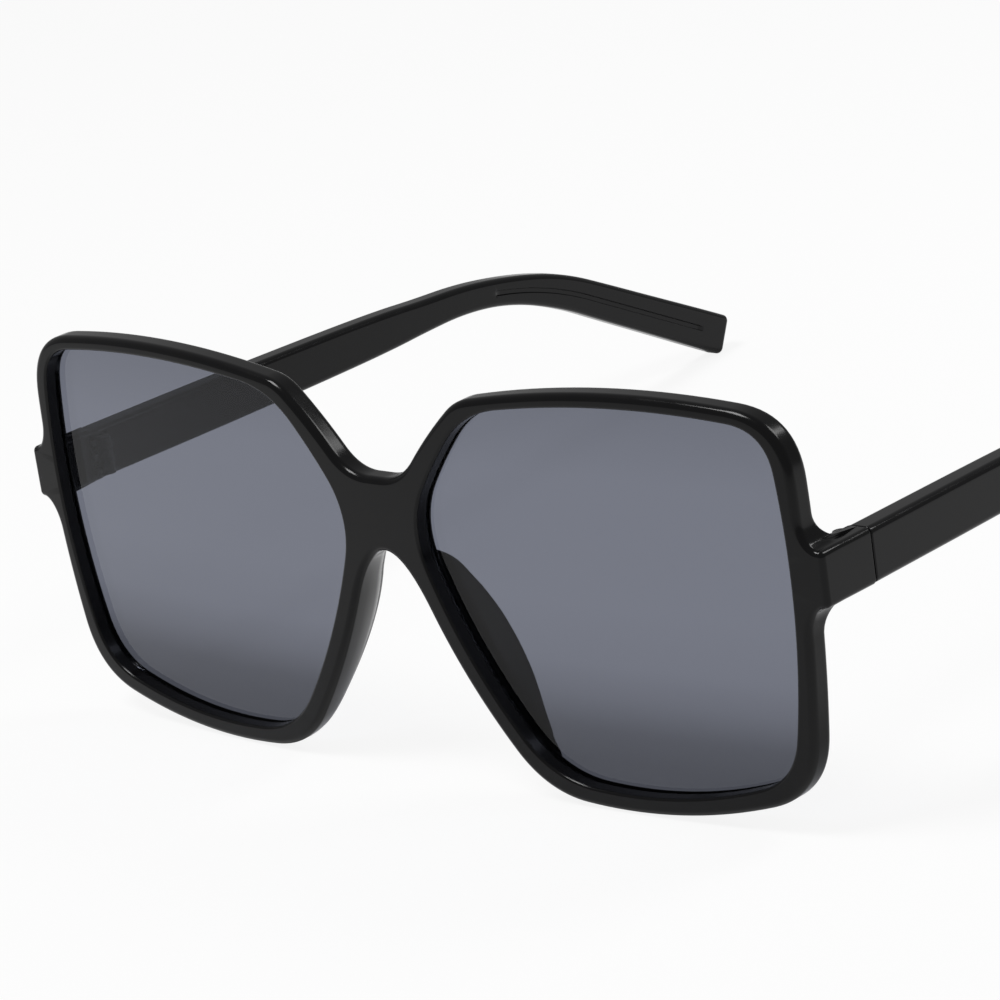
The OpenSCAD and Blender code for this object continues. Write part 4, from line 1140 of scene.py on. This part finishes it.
class GLASSES_OT_arms(bpy.types.Operator):
    """Moulds the two arms with their ear bends and grooves"""

    bl_idname = "glasses.arms"
    bl_label = "Arms"
    bl_options = {"REGISTER", "UNDO"}

    def execute(self, context):
        scene = context.scene
        front = front_of(context)
        arm = Arm(scene.glasses_arm)
        place = hinge_place(front, True)
        material = polished_plastic(scene.glasses_finish, "Arm plastic",
                                    scene.glasses_finish.plastic_rough)
        for name, side in SIDES.items():
            bm = skin(arm.rings())
            close_ends(bm)
            bmesh.ops.transform(bm, matrix=place, verts=bm.verts)
            pocket = hinge_pocket(scene.glasses_hinge, scene.glasses_arm.axis_in, 1, place)
            bm = carved(bm, pocket)
            if side < 0:
                mirror_across(bm)
            show(bm, "arm_moulding_" + name, ["temple_" + name], "arm_" + name,
                 material)
        return {"FINISHED"}


class GLASSES_OT_hinges(bpy.types.Operator):
    """Plates the hinge leaves and their screws"""

    bl_idname = "glasses.hinges"
    bl_label = "Hinges"
    bl_options = {"REGISTER", "UNDO"}

    def execute(self, context):
        finish = context.scene.glasses_finish
        leaf = plated_metal(finish, "Hinge plate", finish.metal, METAL_ROUGH)
        screw = plated_metal(finish, "Screw steel", finish.screw, SCREW_ROUGH)
        for name in SIDES:
            for part, material in (("hinge_front_leaf_", leaf), ("hinge_temple_leaf_", leaf),
                                   ("hinge_screw_", screw)):
                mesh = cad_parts[part + name].data
                mesh.materials.clear()
                mesh.materials.append(material)
        return {"FINISHED"}


class GLASSES_OT_stage(bpy.types.Operator):
    """Sets up the pale table, the lamps and the camera"""

    bl_idname = "glasses.stage"
    bl_label = "Stage"
    bl_options = {"REGISTER", "UNDO"}

    def execute(self, context):
        stage = context.scene.glasses_stage
        self.lay_floor(context.scene.glasses_finish)
        self.hang_lamps(stage)
        self.light_room(stage)
        self.place_camera(stage)
        context.scene.view_settings.view_transform = "Standard"
        return {"FINISHED"}

    def lay_floor(self, finish):
        bm = bmesh.new()
        bmesh.ops.create_grid(bm, x_segments=1, y_segments=1, size=FLOOR_HALF)
        bmesh.ops.translate(bm, vec=(0, 0, -FLOOR_DROP), verts=bm.verts)
        floor = as_object(bm, "Table")
        n = Nodes("Pale table")
        cloud = n.noise(scale=14, detail=3)
        paint = n.blend(cloud, rgba(finish.floor, 0.985), rgba(finish.floor, 1.015))
        matt = n.add("BsdfDiffuse", {"Color": paint})
        bright = n.add("Emission", {"Color": (1, 1, 1, 1), "Strength": 1.0})
        mix = n.add("MixShader", {0: seen_white(n, FLOOR_WHITE), 1: matt.outputs[0],
                                  2: bright.outputs[0]})
        floor.data.materials.append(n.finish(mix.outputs[0]))

    def hang_lamps(self, stage):
        for name, place, size, power in (
            ("Top softbox", stage.top_place, stage.top_size, stage.top_power),
            ("Side softbox", stage.side_place, stage.side_size, stage.side_power),
        ):
            light = bpy.data.lights.new(name, "AREA")
            light.shape, light.size, light.energy = "SQUARE", size, power
            lamp = linked(name, light)
            lamp.location = place
            lamp.rotation_euler = (-Vector(place)).to_track_quat("-Z", "Y").to_euler()

    def light_room(self, stage):
        world = bpy.data.worlds.new("Studio")
        bpy.context.scene.world = world
        world.use_nodes = True
        n = Nodes(tree=world.node_tree)
        room = n.add("Background", {"Color": (1, 1, 1, 1), "Strength": stage.room_light})
        white = n.add("Background", {"Color": (1, 1, 1, 1), "Strength": 1.0})
        mix = n.add("MixShader", {0: seen_white(n, ROOM_WHITE), 1: room.outputs[0],
                                  2: white.outputs[0]})
        output = n.add("OutputWorld")
        n.join(mix.outputs[0], output.inputs["Surface"])

    def place_camera(self, stage):
        data = bpy.data.cameras.new("View")
        data.sensor_width, data.lens = SENSOR_MM, stage.lens
        camera = linked("View", data)
        camera.matrix_world = (
            Matrix.Translation(stage.camera_place) @ Matrix.Rotation(stage.azimuth, 4, "Z")
            @ Matrix.Rotation(pi / 2 - stage.elevation, 4, "X")
            @ Matrix.Rotation(stage.roll, 4, "Z")
        )
        bpy.context.scene.camera = camera


class GLASSES_PT_panel(bpy.types.Panel):
    """The steps that build the sunglasses, in order"""

    bl_label = "Sunglasses"
    bl_space_type = "VIEW_3D"
    bl_region_type = "UI"
    bl_category = "Sunglasses"

    def draw(self, context):
        column = self.layout.column()
        for step in STEPS:
            column.operator(step.bl_idname)
        for name in GROUPS:
            group = getattr(context.scene, name)
            box = column.box()
            for key in group.__annotations__:
                box.prop(group, key)


STEPS = (GLASSES_OT_front, GLASSES_OT_lenses, GLASSES_OT_arms, GLASSES_OT_hinges, GLASSES_OT_stage)
GROUPS = {
    "glasses_opening": OpeningSizes,
    "glasses_rim": RimSizes,
    "glasses_arm": ArmSizes,
    "glasses_hinge": HingeSizes,
    "glasses_finish": Finish,
    "glasses_stage": StageSizes,
}


def register():
    for item in (*GROUPS.values(), *STEPS, GLASSES_PT_panel):
        bpy.utils.register_class(item)
    for name, group in GROUPS.items():
        setattr(bpy.types.Scene, name, PointerProperty(type=group))


def unregister():
    for name in GROUPS:
        delattr(bpy.types.Scene, name)
    for item in reversed((*GROUPS.values(), *STEPS, GLASSES_PT_panel)):
        bpy.utils.unregister_class(item)


def main():
    register()
    for step in STEPS:
        group, name = step.bl_idname.split(".")
        getattr(getattr(bpy.ops, group), name)()


if __name__ == "__main__":
    main()
